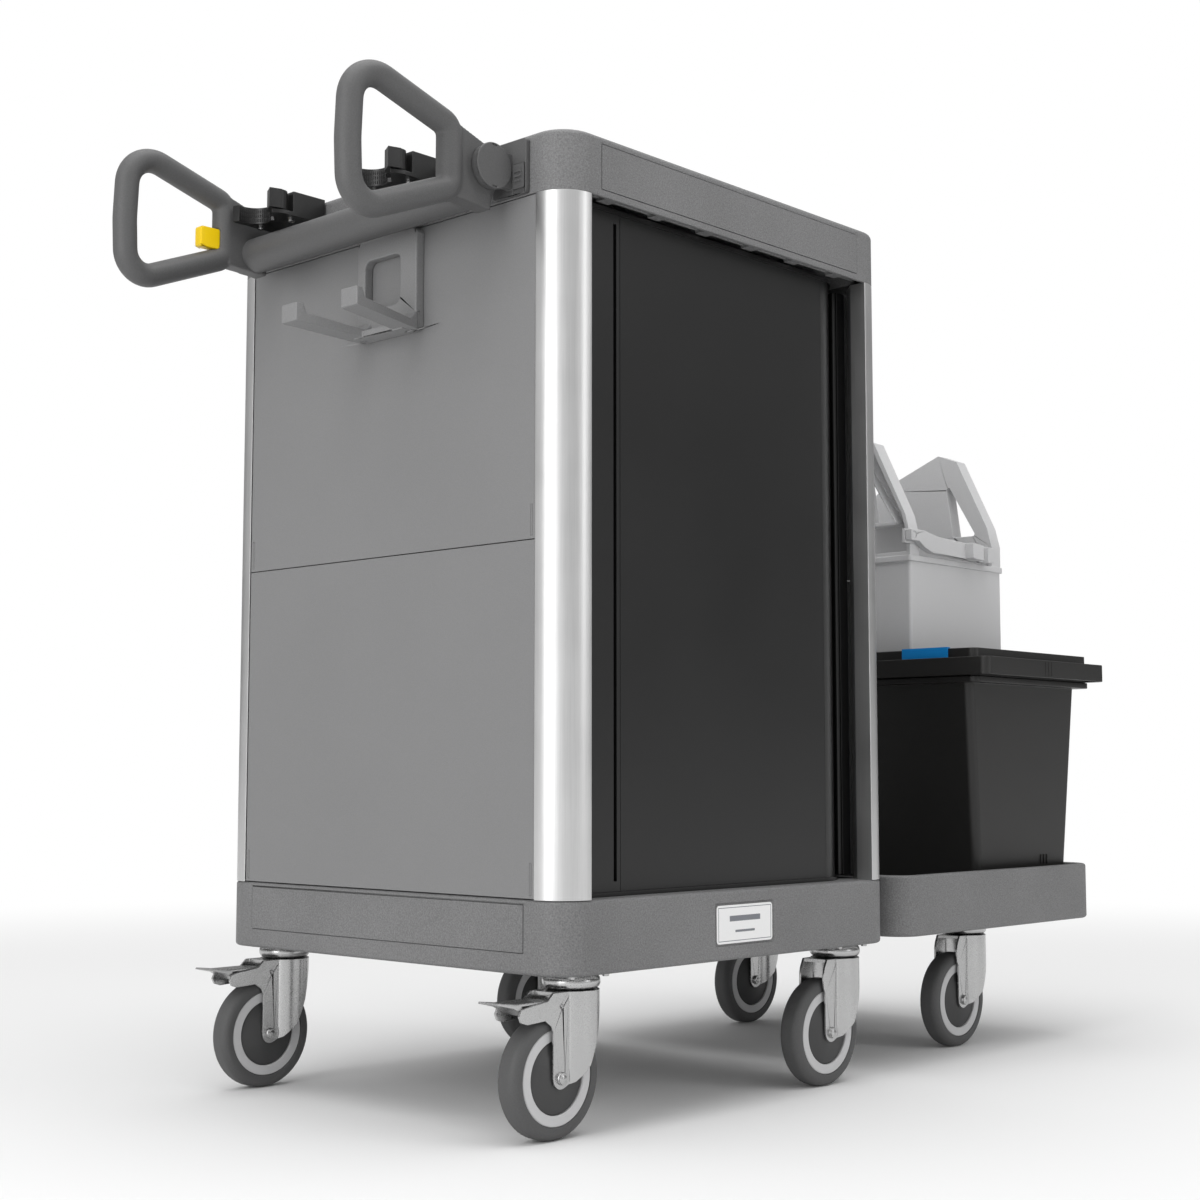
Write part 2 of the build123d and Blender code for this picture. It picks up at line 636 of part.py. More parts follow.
def clamp_screws():
    screws = []
    for y in CLAMP_Y.values():
        for sx, sy in clamp_screw_places(y):
            head = rod_z(sx, sy, CLAMP_Z - 2.5, CLAMP_Z, 4.2)
            shank = rod_z(sx, sy, CLAMP_Z - 1, CLAMP_Z + CLAMP_BASE + 8, 2.15)
            cross = box(sx - 2.6, sx + 2.6, sy - 0.5, sy + 0.5, CLAMP_Z - 3, CLAMP_Z - 1.3)
            cross += box(sx - 0.5, sx + 0.5, sy - 2.6, sy + 2.6, CLAMP_Z - 3, CLAMP_Z - 1.3)
            screws.append(head + shank - cross)
    return screws


for clamp_name, clamp_y in CLAMP_Y.items():
    add("clamp_" + clamp_name, *[Compound([s]) for s in clamp_body(clamp_y)])
    add("clamp_jaw_" + clamp_name, clamp_jaw(clamp_y))
add("clamp_screws", *clamp_screws())

# Double hook --------------------------------------------------------------------------------------
HOOK_Y0, HOOK_Y1 = 216.0, 316.0
HOOK_Z0, HOOK_Z1 = 851.0, 966.0
HOOK_T = 11.0
PRONG_T = 10.0
PRONG_W = 27.0
PRONG_REACH = 106.0
PRONG_SPLAY = 15.0


def hook_bracket():
    back = -HOOK_T
    plate = box(back, PANEL_SET, HOOK_Y0, HOOK_Y1, HOOK_Z0, HOOK_Z1)
    plate = fillet(plate.edges().filter_by(Axis.X), 7)
    window = box(back - 1, PANEL_SET + 1, HOOK_Y0 + 27, HOOK_Y1 - 13, HOOK_Z0 + 34, HOOK_Z1 - 24)
    plate -= fillet(window.edges().filter_by(Axis.X), 9)
    tip = -PRONG_REACH
    prongs = []
    for root, splay in ((HOOK_Y0, -PRONG_SPLAY), (HOOK_Y1 - PRONG_W, PRONG_SPLAY)):
        outline = [(back + 5, root), (back + 5, root + PRONG_W)]
        outline += [(tip, root + PRONG_W + splay), (tip, root + splay)]
        strap = prism(PLAN, outline, HOOK_Z0, HOOK_Z1)
        profile = [
            (back + 4, HOOK_Z0),
            (tip, HOOK_Z0 + 8),
            (tip, HOOK_Z0 + 28),
            (tip + 9, HOOK_Z0 + 28),
            (tip + 13, HOOK_Z0 + 18),
            (back - 9, HOOK_Z0 + PRONG_T),
            (back, HOOK_Z0 + PRONG_T + 9),
            (back + 4, HOOK_Z0 + PRONG_T + 9),
        ]
        prongs.append(strap & side_prism(profile, HOOK_Y0 - 40, HOOK_Y1 + 40))
    sill = box(back - 12, back + 4, HOOK_Y0 + 8, HOOK_Y1 - 8, HOOK_Z0, HOOK_Z0 + 8)
    return plate + prongs[0] + prongs[1] + sill


add("hook_bracket", hook_bracket())


# Bucket platform ----------------------------------------------------------------------------------
def platform_tray():
    outer = base_shell(PLAT_X0, PLAT_X1, PLAT_Y0, PLAT_Y1, PLAT_R)
    m = PLAT_RIM
    well = round_box(
        PLAT_X0 + m, PLAT_X1 - m, PLAT_Y0 + m, PLAT_Y1 - m, PLAT_FLOOR, BASE_TOP + 1, PLAT_R - m
    )
    w = WALL
    hollow = round_box(
        PLAT_X0 + w, PLAT_X1 - w, PLAT_Y0 + w, PLAT_Y1 - w, BASE_Z - 1, PLAT_FLOOR - DECK, PLAT_R - w
    )
    tray = outer - well - hollow
    for x, y in PLATFORM_CASTERS.values():
        tray += box(x - 40, x + 40, y - 38, y + 38, BASE_Z + 2, PLAT_FLOOR - DECK)
    for y in RAIL_Y:
        y0, y1 = y - RAIL_W / 2, y + RAIL_W / 2
        tray -= box(PLAT_X0 - 1, PLAT_X0 + 2 * WALL, y0, y1, BASE_Z - 1, RAIL_Z0 + RAIL_H)
    return tray


def platform_rails():
    """Two steel channels under the cabinet that carry the platform."""
    rails = []
    for y in RAIL_Y:
        y0, y1, z1 = y - RAIL_W / 2, y + RAIL_W / 2, RAIL_Z0 + RAIL_H
        bar = box(RAIL_X0, RAIL_X1, y0 + 0.5, y1 - 0.5, RAIL_Z0, z1 - 0.5)
        bar -= box(RAIL_X0 - 1, RAIL_X1 + 1, y0 + 3, y1 - 3, RAIL_Z0 - 1, z1 - 3)
        rails.append(bar)
    return rails


add("platform_tray", platform_tray())
add("platform_rails", *platform_rails())

# Bucket -------------------------------------------------------------------------------------------
BUCKET_Z0 = PLAT_FLOOR + FIT
COLLAR_Z0 = BUCKET_TOP - 46.0
BAND_Z0, BAND_Z1 = BUCKET_TOP - 37.0, BUCKET_TOP - 13.0
COLLAR_OUT_X, COLLAR_OUT_Y = 10.0, 15.0
BUCKET_R = 12.0


def loft_box(x0, x1, y0, y1, z0, z1, dx, dy, r):
    """A rounded box that narrows downwards by dx and dy on each side."""
    top = Plane.XY.offset(z1) * Pos((x0 + x1) / 2, (y0 + y1) / 2) * RectangleRounded(x1 - x0, y1 - y0, r)
    low = Plane.XY.offset(z0) * Pos((x0 + x1) / 2, (y0 + y1) / 2) * RectangleRounded(
        x1 - x0 - 2 * dx, y1 - y0 - 2 * dy, r
    )
    return loft([low, top])


def bucket():
    x0, x1 = BUCKET_X0, BUCKET_X0 + BUCKET_L
    y0, y1 = BUCKET_Y0, BUCKET_Y0 + BUCKET_W
    t = BUCKET_WALL
    body = loft_box(x0, x1, y0, y1, BUCKET_Z0, COLLAR_Z0, BUCKET_DRAFT_X, BUCKET_DRAFT_Y, BUCKET_R)
    cx, cy = COLLAR_OUT_X, COLLAR_OUT_Y
    collar = round_box(x0 - cx, x1 + cx, y0 - cy, y1 + cy, COLLAR_Z0, BUCKET_TOP, BUCKET_R)
    bead_ends = (x0 - cx - 3, x1 + cx + 1.5, y0 - cy - 3, y1 + cy + 3)
    bead = round_box(*bead_ends, COLLAR_Z0, COLLAR_Z0 + 8, BUCKET_R)
    band = round_box(RIM_X0, RIM_X1, RIM_Y0, RIM_Y1, BAND_Z0, BAND_Z1, 12)
    under = round_box(RIM_X0 + t, RIM_X1 - t, RIM_Y0 + t, RIM_Y1 - t, BAND_Z0 - 1, BAND_Z1 - t, 10)
    band -= under - round_box(x0 - cx, x1 + cx, y0 - cy, y1 + cy, BAND_Z0 - 2, BAND_Z1 + 1, BUCKET_R)
    draft_share = (COLLAR_Z0 - BUCKET_Z0 - 4.0) / (COLLAR_Z0 - BUCKET_Z0)
    inside = loft_box(
        x0 + t, x1 - t, y0 + t, y1 - t, BUCKET_Z0 + 4, COLLAR_Z0, BUCKET_DRAFT_X * draft_share,
        BUCKET_DRAFT_Y * draft_share, BUCKET_R - t,
    )
    mouth = round_box(
        x0 - cx + t, x1 + cx - t, y0 - cy + t, y1 + cy - t, COLLAR_Z0 + t, BUCKET_TOP + 1, BUCKET_R - t
    )
    throat = round_box(x0 + t, x1 - t, y0 + t, y1 - t, COLLAR_Z0 - 0.01, COLLAR_Z0 + t + 1, BUCKET_R - t)
    return body + collar + bead + band - inside - throat - mouth


TAG_Y0, TAG_Y1 = 71.0, 144.0


def bucket_tag():
    x = BUCKET_X0 - COLLAR_OUT_X
    tag = box(x - 2.0, x, TAG_Y0, TAG_Y1, BAND_Z1 + 0.8, BUCKET_TOP)
    return tag + box(x - 2.0, x + BUCKET_WALL + 2, TAG_Y0, TAG_Y1, BUCKET_TOP, BUCKET_TOP + 2)


add("bucket", bucket())
add("bucket_tag", bucket_tag())

# Mop press ----------------------------------------------------------------------------------------
PRESS_X0, PRESS_X1 = 847.0, 1086.0
PRESS_Y0, PRESS_Y1 = 150.0, 398.0
PRESS_Z0 = BUCKET_TOP - 74.0
FLANGE_Z0, FLANGE_Z1 = BUCKET_TOP + 128.0, BUCKET_TOP + 136.0
PRESS_WALL = 3.5
CHEEK_W = 24.0
CHEEK_WEB = 4.0
HANGER_Y0, HANGER_Y1 = 235.0, 375.0
LEVER_AT = (PRESS_X0 - 4.0, FLANGE_Z1 + 27.0)
LEVER_Y0, LEVER_Y1 = PRESS_Y0 - 11.0, PRESS_Y0 - 1.0


def cheek_outline(inset):
    """Side cheek of the press as (y, z): leans back in front, a rounded hump on top, falls to the back."""
    z = FLANGE_Z1
    points = [
        (PRESS_Y0 + inset, z - 0.5 + inset),
        (PRESS_Y0 + inset, z + 30),
        (PRESS_Y0 + 7 + inset, z + 58),
        (PRESS_Y0 + 58 + inset, z + 164 - inset * 0.6),
        (PRESS_Y0 + 90, z + 176 - inset),
        (PRESS_Y1 - 50 - inset, z + 132 - inset),
        (PRESS_Y1 - inset, z + 92 - inset),
        (PRESS_Y1 - inset, z - 0.5 + inset),
    ]
    return points


def press_cheek():
    """Hollow-backed cheek on the press's -X side: the smooth web faces the mop."""
    cheek = end_prism(cheek_outline(0), PRESS_X0, PRESS_X0 + CHEEK_W)
    back = end_prism(cheek_outline(6.0), PRESS_X0 - 1, PRESS_X0 + CHEEK_W - CHEEK_WEB)
    y, z = PRESS_Y0, FLANGE_Z1
    outer = [(y + 20, z + 44), (y + 71, z + 44), (y + 84, z + 146)]
    inner = [(y + 27, z + 49), (y + 66, z + 49), (y + 78, z + 137)]
    frame = end_prism(outer, PRESS_X0, PRESS_X0 + CHEEK_W, 3)
    window = end_prism(inner, PRESS_X0 - 5, PRESS_X0 + 40, 3)
    return cheek - back + frame - window


def press_frame():
    x0, x1, y0, y1 = PRESS_X0, PRESS_X1, PRESS_Y0, PRESS_Y1
    t = PRESS_WALL
    hopper = round_box(x0, x1, y0, y1, PRESS_Z0, FLANGE_Z0, 5)
    flange = round_box(x0 - 3, x1 + 3, y0 - 3, y1 + 3, FLANGE_Z0, FLANGE_Z1, 6)
    cavity = round_box(x0 + t, x1 - t, y0 + t, y1 - t, PRESS_Z0 + t, FLANGE_Z1 + 1, 3)
    frame = hopper + flange - cavity
    cheek = press_cheek()
    mid = (x0 + x1) / 2
    frame += cheek
    frame += Pos(2 * mid, 0, 0) * mirror(cheek, Plane.YZ)
    back = box(x0, x1, y1 - 6, y1, FLANGE_Z1 - 1, FLANGE_Z1 + 88)
    frame += back
    lx, lz = LEVER_AT
    frame += box(lx - 9, x0 + CHEEK_W, LEVER_Y1 + 0.4, y0 + 4, lz - 11, lz + 9)
    frame += rod_y(lx, lz, LEVER_Y0 + 1, y0 + 2, 4.94)
    frame -= box(x0 + CHEEK_W, x1 - CHEEK_W, y1 - 8, y1 + 1, FLANGE_Z1 + 30, FLANGE_Z1 + 60)
    for a, b in ((x0 - 30, x0 + 1), (x1 - 1, x1 + 30)):
        frame += box(a, b, HANGER_Y0, HANGER_Y1, BUCKET_TOP + FIT, BUCKET_TOP + FIT + 5)
        frame += box(
            a if a < x0 else x1 - 1, a + 3 if a < x0 else x1 + 30, HANGER_Y0, HANGER_Y1,
            BUCKET_TOP + FIT, BUCKET_TOP + FIT + 12,
        )
    for i in range(5):
        for j in range(4):
            hx = x0 + 40 + i * (x1 - x0 - 80) / 4
            hy = y0 + 40 + j * (y1 - y0 - 80) / 3
            frame -= rod_z(hx, hy, PRESS_Z0 - 1, PRESS_Z0 + t + 1, 6)
    return frame


def press_lever():
    """Lever along the front: an eye on its pin at one end, a hooked catch at the other."""
    lx, lz = LEVER_AT
    end = PRESS_X1 - 52
    y0, y1 = LEVER_Y0, LEVER_Y1
    outline = [
        (lx - 8, lz + 8),
        (lx + 24, lz + 8),
        (lx + 60, lz + 2),
        (end, lz - 2),
        (end, lz - 26),
        (lx + 46, lz - 22),
        (lx + 26, lz - 16),
        (lx + 12, lz - 8),
        (lx - 8, lz - 8),
    ]
    lever = side_prism(outline, y0, y1)
    grip_pad = [(end - 62, lz - 1), (end - 34, lz - 3), (end - 34, lz - 25), (end - 62, lz - 23)]
    end_pad = [(end - 16, lz - 3), (end, lz - 4), (end, lz - 25), (end - 16, lz - 26)]
    lever += side_prism(grip_pad, y0 - 14, y0 + 1) + side_prism(end_pad, y0 - 10, y0 + 1)
    return lever - rod_y(lx, lz, y0 - 1, y1 + 1, 5.0)


PLATE_REST_Y = 190.0
PRESS_PLATE_T = 10.0


def press_plate():
    """Perforated plate that is pushed across the hopper by the lever."""
    t = PRESS_WALL + 1.5
    z0, z1 = PRESS_Z0 + 16, FLANGE_Z0 - 8
    plate = box(PRESS_X0 + t, PRESS_X1 - t, PLATE_REST_Y, PLATE_REST_Y + PRESS_PLATE_T, z0, z1)
    for i in range(7):
        for j in range(5):
            hx = PRESS_X0 + 30 + i * (PRESS_X1 - PRESS_X0 - 60) / 6
            hz = z0 + 22 + j * (z1 - z0 - 44) / 4
            plate -= rod_y(hx, hz, PLATE_REST_Y - 1, PLATE_REST_Y + PRESS_PLATE_T + 1, 5)
    return plate


add("press_frame", press_frame())
add("press_lever", press_lever())
add("press_plate", press_plate())

# Casters ------------------------------------------------------------------------------------------
HEAD_T = 3.0
HEAD_Z = BASE_Z + 2.0  # face of the bosses that the heads are screwed to
CUP_R, CUP_H = 30.0, 15.0
CUP_Z = HEAD_Z - HEAD_T - CUP_H
FORK_TOP = CUP_Z - 0.5
FORK_GAP = WHEEL_W / 2 + 2.0
FORK_T = 2.8
KINGPIN_R = 6.0
SHELL_R = 29.0  # the fork's drawn shell round the swivel axis
STRIP_END = 21.0  # where the flat strips run into that shell
CROWN_T = 4.0
FOOT_R = 11.0  # rounding of the legs round the axle
BRAKED = ("a", "b")
RIM_R = 48.0
HUB_CAP_R = 37.0
AXLE_HEAD_R = 6.0
SPACER_R = 10.5  # ends of the wheel's hub, which stay clear of the fork's shell
PEDAL_PIN_Z = 133.3
PEDAL_PIN_R = 2.5
ARM_REACH = 92.0  # the braked forks' arms behind the swivel axis


def caster_head(x, y):
    """Fixed plate, bearing cup and kingpin."""
    head = round_box(x - 34, x + 34, y - 34, y + 34, HEAD_Z - HEAD_T, HEAD_Z, 8)
    cup = rod_z(x, y, CUP_Z, HEAD_Z - HEAD_T, CUP_R)
    head += fillet(cup.edges(), CUP_H / 2 - 0.4)
    head += rod_z(x, y, FORK_TOP - 9, CUP_Z + 1, KINGPIN_R)
    for sx in (-25, 25):
        for sy in (-25, 25):
            head -= rod_z(x + sx, y + sy, HEAD_Z - HEAD_T - 1, HEAD_Z + 1, 3.2)
    return head


def fork_outline(x, braked):
    """One leg of the fork as (x, z); a braked fork has an arm each side of the pedal."""
    wx = x - TRAIL
    front = [(x + SHELL_R + 1, FORK_TOP), (x + SHELL_R + 1, 141), (x + 22, 139), (x + 11, 98.5)]
    front += [(x - 1, 73), (x - 17, 58)]
    foot = [
        (wx + FOOT_R * cos(radians(a)), WHEEL_R + FOOT_R * sin(radians(a))) for a in range(-60, -181, -20)
    ]
    leg = [(wx - FOOT_R, 109), (x - 47, 115)]
    arm = [(x - 56, 121), (x - 81, 119.5), (x - 89, 122), (x - ARM_REACH, 128), (x - 89, 134), (x - 84, 136)]
    back = [(x - 52, 140), (x - 44, FORK_TOP)]
    plain_back = [(x - 47, 130), (x - 45, 138), (x - 40, FORK_TOP)]
    return front + foot + leg + (arm + back if braked else plain_back)


def fork(x, y, braked):
    """Pressed fork that trails towards -X, with its axle bolt: flat strips drawn into a round shell."""
    wx = x - TRAIL
    outer = FORK_GAP + FORK_T
    outline = fork_outline(x, braked)
    legs = side_prism(outline, y - outer, y - FORK_GAP) + side_prism(outline, y + FORK_GAP, y + outer)
    legs &= box(x - ARM_REACH - 1, x - STRIP_END, y - outer, y + outer, 0, FORK_TOP)
    shell = rod_z(x, y, WHEEL_R / 2, FORK_TOP, SHELL_R) - rod_z(x, y, 0, FORK_TOP + 1, SHELL_R - FORK_T)
    shell &= box(x - STRIP_END - 1, x + SHELL_R, y - SHELL_R, y + SHELL_R, 0, FORK_TOP)
    shell &= side_prism(outline, y - SHELL_R, y + SHELL_R)
    crown = rod_z(x, y, FORK_TOP - CROWN_T, FORK_TOP, SHELL_R)
    crown += box(x - 40, x - STRIP_END, y - outer, y + outer, FORK_TOP - CROWN_T, FORK_TOP)
    body = legs + shell + crown
    body -= rod_z(x, y, FORK_TOP - 12, FORK_TOP + 1, KINGPIN_R + RUN_FIT)
    for side in (-1, 1):
        body += rod_y(wx, WHEEL_R, *sorted((y + side * (outer - 1), y + side * (outer + 4))), AXLE_HEAD_R)
    body += rod_y(wx, WHEEL_R, y - outer, y + outer, AXLE_R)
    if braked:
        body += rod_y(wx, PEDAL_PIN_Z, y - outer - 0.8, y + outer + 0.8, PEDAL_PIN_R)
    return body


def wheel(x, y):
    wx = x - TRAIL
    half = WHEEL_W / 2
    tyre = fillet(rod_y(wx, WHEEL_R, y - half, y + half, WHEEL_R).edges(), 8)
    tyre -= rod_y(wx, WHEEL_R, y - half - 1, y + half + 1, RIM_R)
    rim = rod_y(wx, WHEEL_R, y - half + 1.5, y + half - 1.5, RIM_R)
    for side in (-1, 1):
        face = y + side * (half - 1.5)
        groove = rod_y(wx, WHEEL_R, *sorted((face, face - side * 3)), HUB_CAP_R)
        rim -= groove - rod_y(wx, WHEEL_R, *sorted((face + side, face - side * 4)), HUB_CAP_R - 1.5)
    rim += rod_y(wx, WHEEL_R, y - half - 1.2, y + half + 1.2, SPACER_R)
    bore = rod_y(wx, WHEEL_R, y - half - 3, y + half + 3, AXLE_R + RUN_FIT)
    return tyre, rim - bore


def brake_pedal(x, y):
    """Foot pedal between the fork's arms; its barrel turns on a pin over the axle."""
    half = FORK_GAP - 0.5
    wx = x - TRAIL
    profile = [
        (x - 30, 140.5), (x - 95, 140.5), (x - 116, 143), (x - 117, 141), (x - 97, 136.5), (x - 80, 127.5),
        (x - 76, 127.5), (x - 79, 133), (x - 86, 137.5), (x - 30, 137.5),
    ]
    pedal = side_prism(profile, y - half, y + half)
    pedal += rod_y(wx, PEDAL_PIN_Z, y - half, y + half, 5.4)
    return pedal - rod_y(wx, PEDAL_PIN_Z, y - half - 1, y + half + 1, PEDAL_PIN_R + RUN_FIT)


add("caster_heads", *[caster_head(x, y) for x, y in CASTERS.values()])
for key, (cx, cy) in CASTERS.items():
    add("fork_" + key, fork(cx, cy, key in BRAKED))
    add("wheel_" + key, *wheel(cx, cy))
for key in BRAKED:
    add("brake_pedal_" + key, brake_pedal(*CASTERS[key]))

# Write the pieces ---------------------------------------------------------------------------------
os.makedirs("parts", exist_ok=True)
for name, solids in nodes.items():
    placed = [Pos(SHIFT.X, SHIFT.Y, SHIFT.Z) * solid for solid in solids]
    export_step(placed[0] if len(placed) == 1 else Compound(placed), f"parts/{name}.step")
print(len(nodes), "nodes, origin shift", SHIFT)
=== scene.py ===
# %% [markdown]
# # A housekeeping cart
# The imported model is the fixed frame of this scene: every piece below takes its place from it and rides
# on one of its bodies. The design already has the true shapes and sizes, so the work here is what
# a drawing leaves out: softened edges, turned and knurled details, small fasteners, and the finishes.

# %% Frame
import json
import math

import bmesh
import bpy
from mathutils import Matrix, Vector


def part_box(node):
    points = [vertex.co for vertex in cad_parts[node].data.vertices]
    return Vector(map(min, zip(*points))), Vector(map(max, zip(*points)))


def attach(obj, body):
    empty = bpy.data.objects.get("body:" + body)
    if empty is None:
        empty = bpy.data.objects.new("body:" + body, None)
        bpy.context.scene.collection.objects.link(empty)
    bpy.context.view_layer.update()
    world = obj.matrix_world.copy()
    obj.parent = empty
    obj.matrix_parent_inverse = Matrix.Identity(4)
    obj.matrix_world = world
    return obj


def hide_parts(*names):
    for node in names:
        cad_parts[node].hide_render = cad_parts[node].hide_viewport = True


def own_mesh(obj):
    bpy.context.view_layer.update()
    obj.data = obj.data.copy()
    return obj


scene = bpy.context.scene
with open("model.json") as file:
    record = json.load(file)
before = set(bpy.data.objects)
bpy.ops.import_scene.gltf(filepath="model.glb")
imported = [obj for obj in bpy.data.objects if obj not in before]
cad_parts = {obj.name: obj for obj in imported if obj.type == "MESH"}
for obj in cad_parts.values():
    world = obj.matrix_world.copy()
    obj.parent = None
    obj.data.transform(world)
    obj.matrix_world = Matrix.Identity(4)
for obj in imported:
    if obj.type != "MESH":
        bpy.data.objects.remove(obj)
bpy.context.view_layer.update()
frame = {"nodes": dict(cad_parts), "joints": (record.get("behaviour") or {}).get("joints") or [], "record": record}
BODY_OF = {node: body for body, nodes in frame["record"]["behaviour"]["bodies"].items() for node in nodes}
MM = 0.001

# %% [markdown]
# ## Camera
# The cart is seen from low down, a little above knee height, and from the corner between its handle and
# its shutter. A low camera looks slightly up, which makes the cabinet tall. The lens is a short telephoto:
# the nearest caster is much bigger than the furthest one, but upright edges stay nearly parallel.

# %% Camera
CAMERA_AT = Vector((-1.7908, -1.5904, 0.3676))
CAMERA_YAW = math.radians(43.09)  # from +X towards +Y
CAMERA_PITCH = math.radians(5.26)
LENS = 56.2

camera = bpy.data.objects.new("camera", bpy.data.cameras.new("camera"))
scene.collection.objects.link(camera)
camera.location = CAMERA_AT
camera.rotation_euler = (math.pi / 2 + CAMERA_PITCH, 0, CAMERA_YAW - math.pi / 2)
camera.data.lens = LENS
camera.data.sensor_width = 36
scene.camera = camera
print("camera", tuple(round(v, 3) for v in camera.location))

# %% [markdown]
# ## Shader sums
# A finish is easier to read as a formula than as a web of nodes. A Wire is an output socket that can be
# added, multiplied and so on, and each operation adds one Math node. Everything else goes through one
# method that takes a node's type, its settings and the values or links of its sockets.

# %% Shader sums
class Wire:
    """An output socket that can be used in a formula."""

    def __init__(self, graph, socket):
        self.graph, self.socket = graph, socket

    def _math(self, operation, first, second):
        return self.graph.node("ShaderNodeMath", {"operation": operation}, {0: first, 1: second})

    def __add__(self, other):
        return self._math("ADD", self, other)

    def __sub__(self, other):
        return self._math("SUBTRACT", self, other)

    def __rsub__(self, other):
        return self._math("SUBTRACT", other, self)

    def __mul__(self, other):
        return self._math("MULTIPLY", self, other)

    def __gt__(self, other):
        return self._math("GREATER_THAN", self, other)

    def __lt__(self, other):
        return self._math("LESS_THAN", self, other)

    __radd__ = __add__
    __rmul__ = __mul__


class Graph:
    """The nodes of one material or of the world."""

    def __init__(self, owner):
        owner.use_nodes = True
        self.owner, self.nodes, self.links = owner, owner.node_tree.nodes, owner.node_tree.links

    def node(self, kind, settings=None, sockets=None, out=0):
        """A new node: its settings first, then a value or a Wire for each named socket."""
        new = self.nodes.new(kind)
        for key, value in (settings or {}).items():
            if key == "stops":
                self.set_stops(new.color_ramp, value)
            else:
                setattr(new, key, value)
        self.feed(new, sockets or {})
        return Wire(self, new.outputs[out])

    def feed(self, node, sockets):
        for key, value in sockets.items():
            if isinstance(value, Wire):
                self.links.new(value.socket, node.inputs[key])
            else:
                node.inputs[key].default_value = value

    def set_stops(self, ramp, stops):
        while len(ramp.elements) < len(stops):
            ramp.elements.new(0.5)
        for element, (place, shade) in zip(ramp.elements, stops):
            element.position = place
            element.color = (*shade, 1) if isinstance(shade, tuple) else (shade, shade, shade, 1)

    def place(self, scale=(1, 1, 1)):
        """Object coordinates, stretched: a pattern in real metres that stays with the piece."""
        here = self.node("ShaderNodeTexCoord", out="Object")
        return self.node("ShaderNodeMapping", {}, {"Vector": here, "Scale": scale})

    def axis(self, name):
        """One of the object coordinates, X, Y or Z."""
        return self.node("ShaderNodeSeparateXYZ", {}, {0: self.place()}, out=name)

    def noise(self, scale, detail=2.0, stretch=(1, 1, 1)):
        return self.node(
            "ShaderNodeTexNoise", {}, {"Vector": self.place(stretch), "Scale": scale, "Detail": detail}
        )

    def mix(self, factor, first, second):
        return self.node(
            "ShaderNodeMix", {"data_type": "RGBA"}, {"Factor": factor, 6: first, 7: second}, out=2
        )


def surface(name, **fixed):
    """A new material, and its graph. Fixed values go straight on the shader's own sockets."""
    material = bpy.data.materials.new(name)
    graph = Graph(material)
    shader = graph.nodes["Principled BSDF"]
    for key, value in fixed.items():
        shader.inputs[key.replace("_", " ")].default_value = value
    return material, graph, shader


def grey(value):
    return (value, value, value, 1)


print("a formula needs", Wire.__name__, "and", Graph.__name__)


# %% [markdown]
# ## Studio
# Dark and metal things need big soft lights and something darker between them, because a metal post
# shows only what stands round it. So the surroundings go from near black to bright around the cart, as
# a room with one white wall would. Plain white is what the camera itself sees behind the cart.

# %% Surroundings
scene.view_settings.view_transform = "Standard"
world = bpy.data.worlds.new("studio")
scene.world = world
sky = Graph(world)
towards = sky.node("ShaderNodeTexCoord", out="Generated")
east, north, up = (sky.node("ShaderNodeSeparateXYZ", {}, {0: towards}, out=name) for name in "XYZ")
side = east * -0.375 + north * -0.125 + 0.5
ROOM = [(0.0, 0.10), (0.31, 0.13), (0.6, 0.42), (0.84, 0.50), (0.9, 1.25)]
room = sky.node("ShaderNodeValToRGB", {"stops": ROOM}, {0: side})
ceiling = sky.mix(up * 1.2, room, grey(0.85))
seen = sky.node("ShaderNodeLightPath", out="Is Camera Ray")
sky.feed(sky.nodes["Background"], {"Color": sky.mix(seen, ceiling, (1, 1, 1, 1)), "Strength": 1.0})
print("surroundings with", len(ROOM), "shades")

# %% [markdown]
# A tall light stands off the handle end and makes the bright line down the posts. A broad one hangs
# overhead, and a weak one on the shutter's side keeps the dark faces from going black.

# %% Lights
def soft_light(name, at, aim, width, height, power):
    """A rectangular light at a place, turned towards a point."""
    light = bpy.data.objects.new(name, bpy.data.lights.new(name, "AREA"))
    light.data.shape = "RECTANGLE"
    light.data.size, light.data.size_y = width, height
    light.data.energy = power
    light.location = at
    light.rotation_euler = (Vector(aim) - Vector(at)).to_track_quat("-Z", "Y").to_euler()
    scene.collection.objects.link(light)


soft_light("end_light", (-3.0, -0.4, 1.3), (0, 0, 0.6), 1.2, 2.6, 26)
soft_light("roof_light", (-0.3, -0.4, 3.4), (0, 0, 0.5), 3.0, 3.0, 55)
soft_light("side_light", (0.9, -3.2, 1.6), (0.1, 0, 0.6), 1.0, 2.2, 12)

# %% [markdown]
# The floor is a plain pale sheet that takes the cart's soft shadow. Further out it fades into the white
# that the camera sees behind it, so there is no horizon.

# %% Floor
FLOOR_R = 14.0
floor_mesh = bpy.data.meshes.new("floor")
disc = bmesh.new()
bmesh.ops.create_circle(disc, cap_ends=True, segments=96, radius=FLOOR_R)
disc.to_mesh(floor_mesh)
floor = bpy.data.objects.new("floor", floor_mesh)
scene.collection.objects.link(floor)
paper, graph, shader = surface("floor_paper", Roughness=0.75)
graph.feed(shader, {"Base Color": grey(0.86)})
away = graph.node("ShaderNodeVectorMath", {"operation": "LENGTH"}, {0: graph.place()}, out="Value")
fade = graph.node("ShaderNodeMapRange", {"interpolation_type": "SMOOTHSTEP"}, {0: away, 1: 1.2, 2: 3.4})
white = graph.node("ShaderNodeEmission", {}, {"Color": (1, 1, 1, 1), "Strength": 1.0})
blend = graph.node("ShaderNodeMixShader", {}, {0: fade, 1: Wire(graph, shader.outputs[0]), 2: white})
graph.feed(graph.nodes["Material Output"], {"Surface": blend})
floor_mesh.materials.append(paper)
print("floor of radius", FLOOR_R)

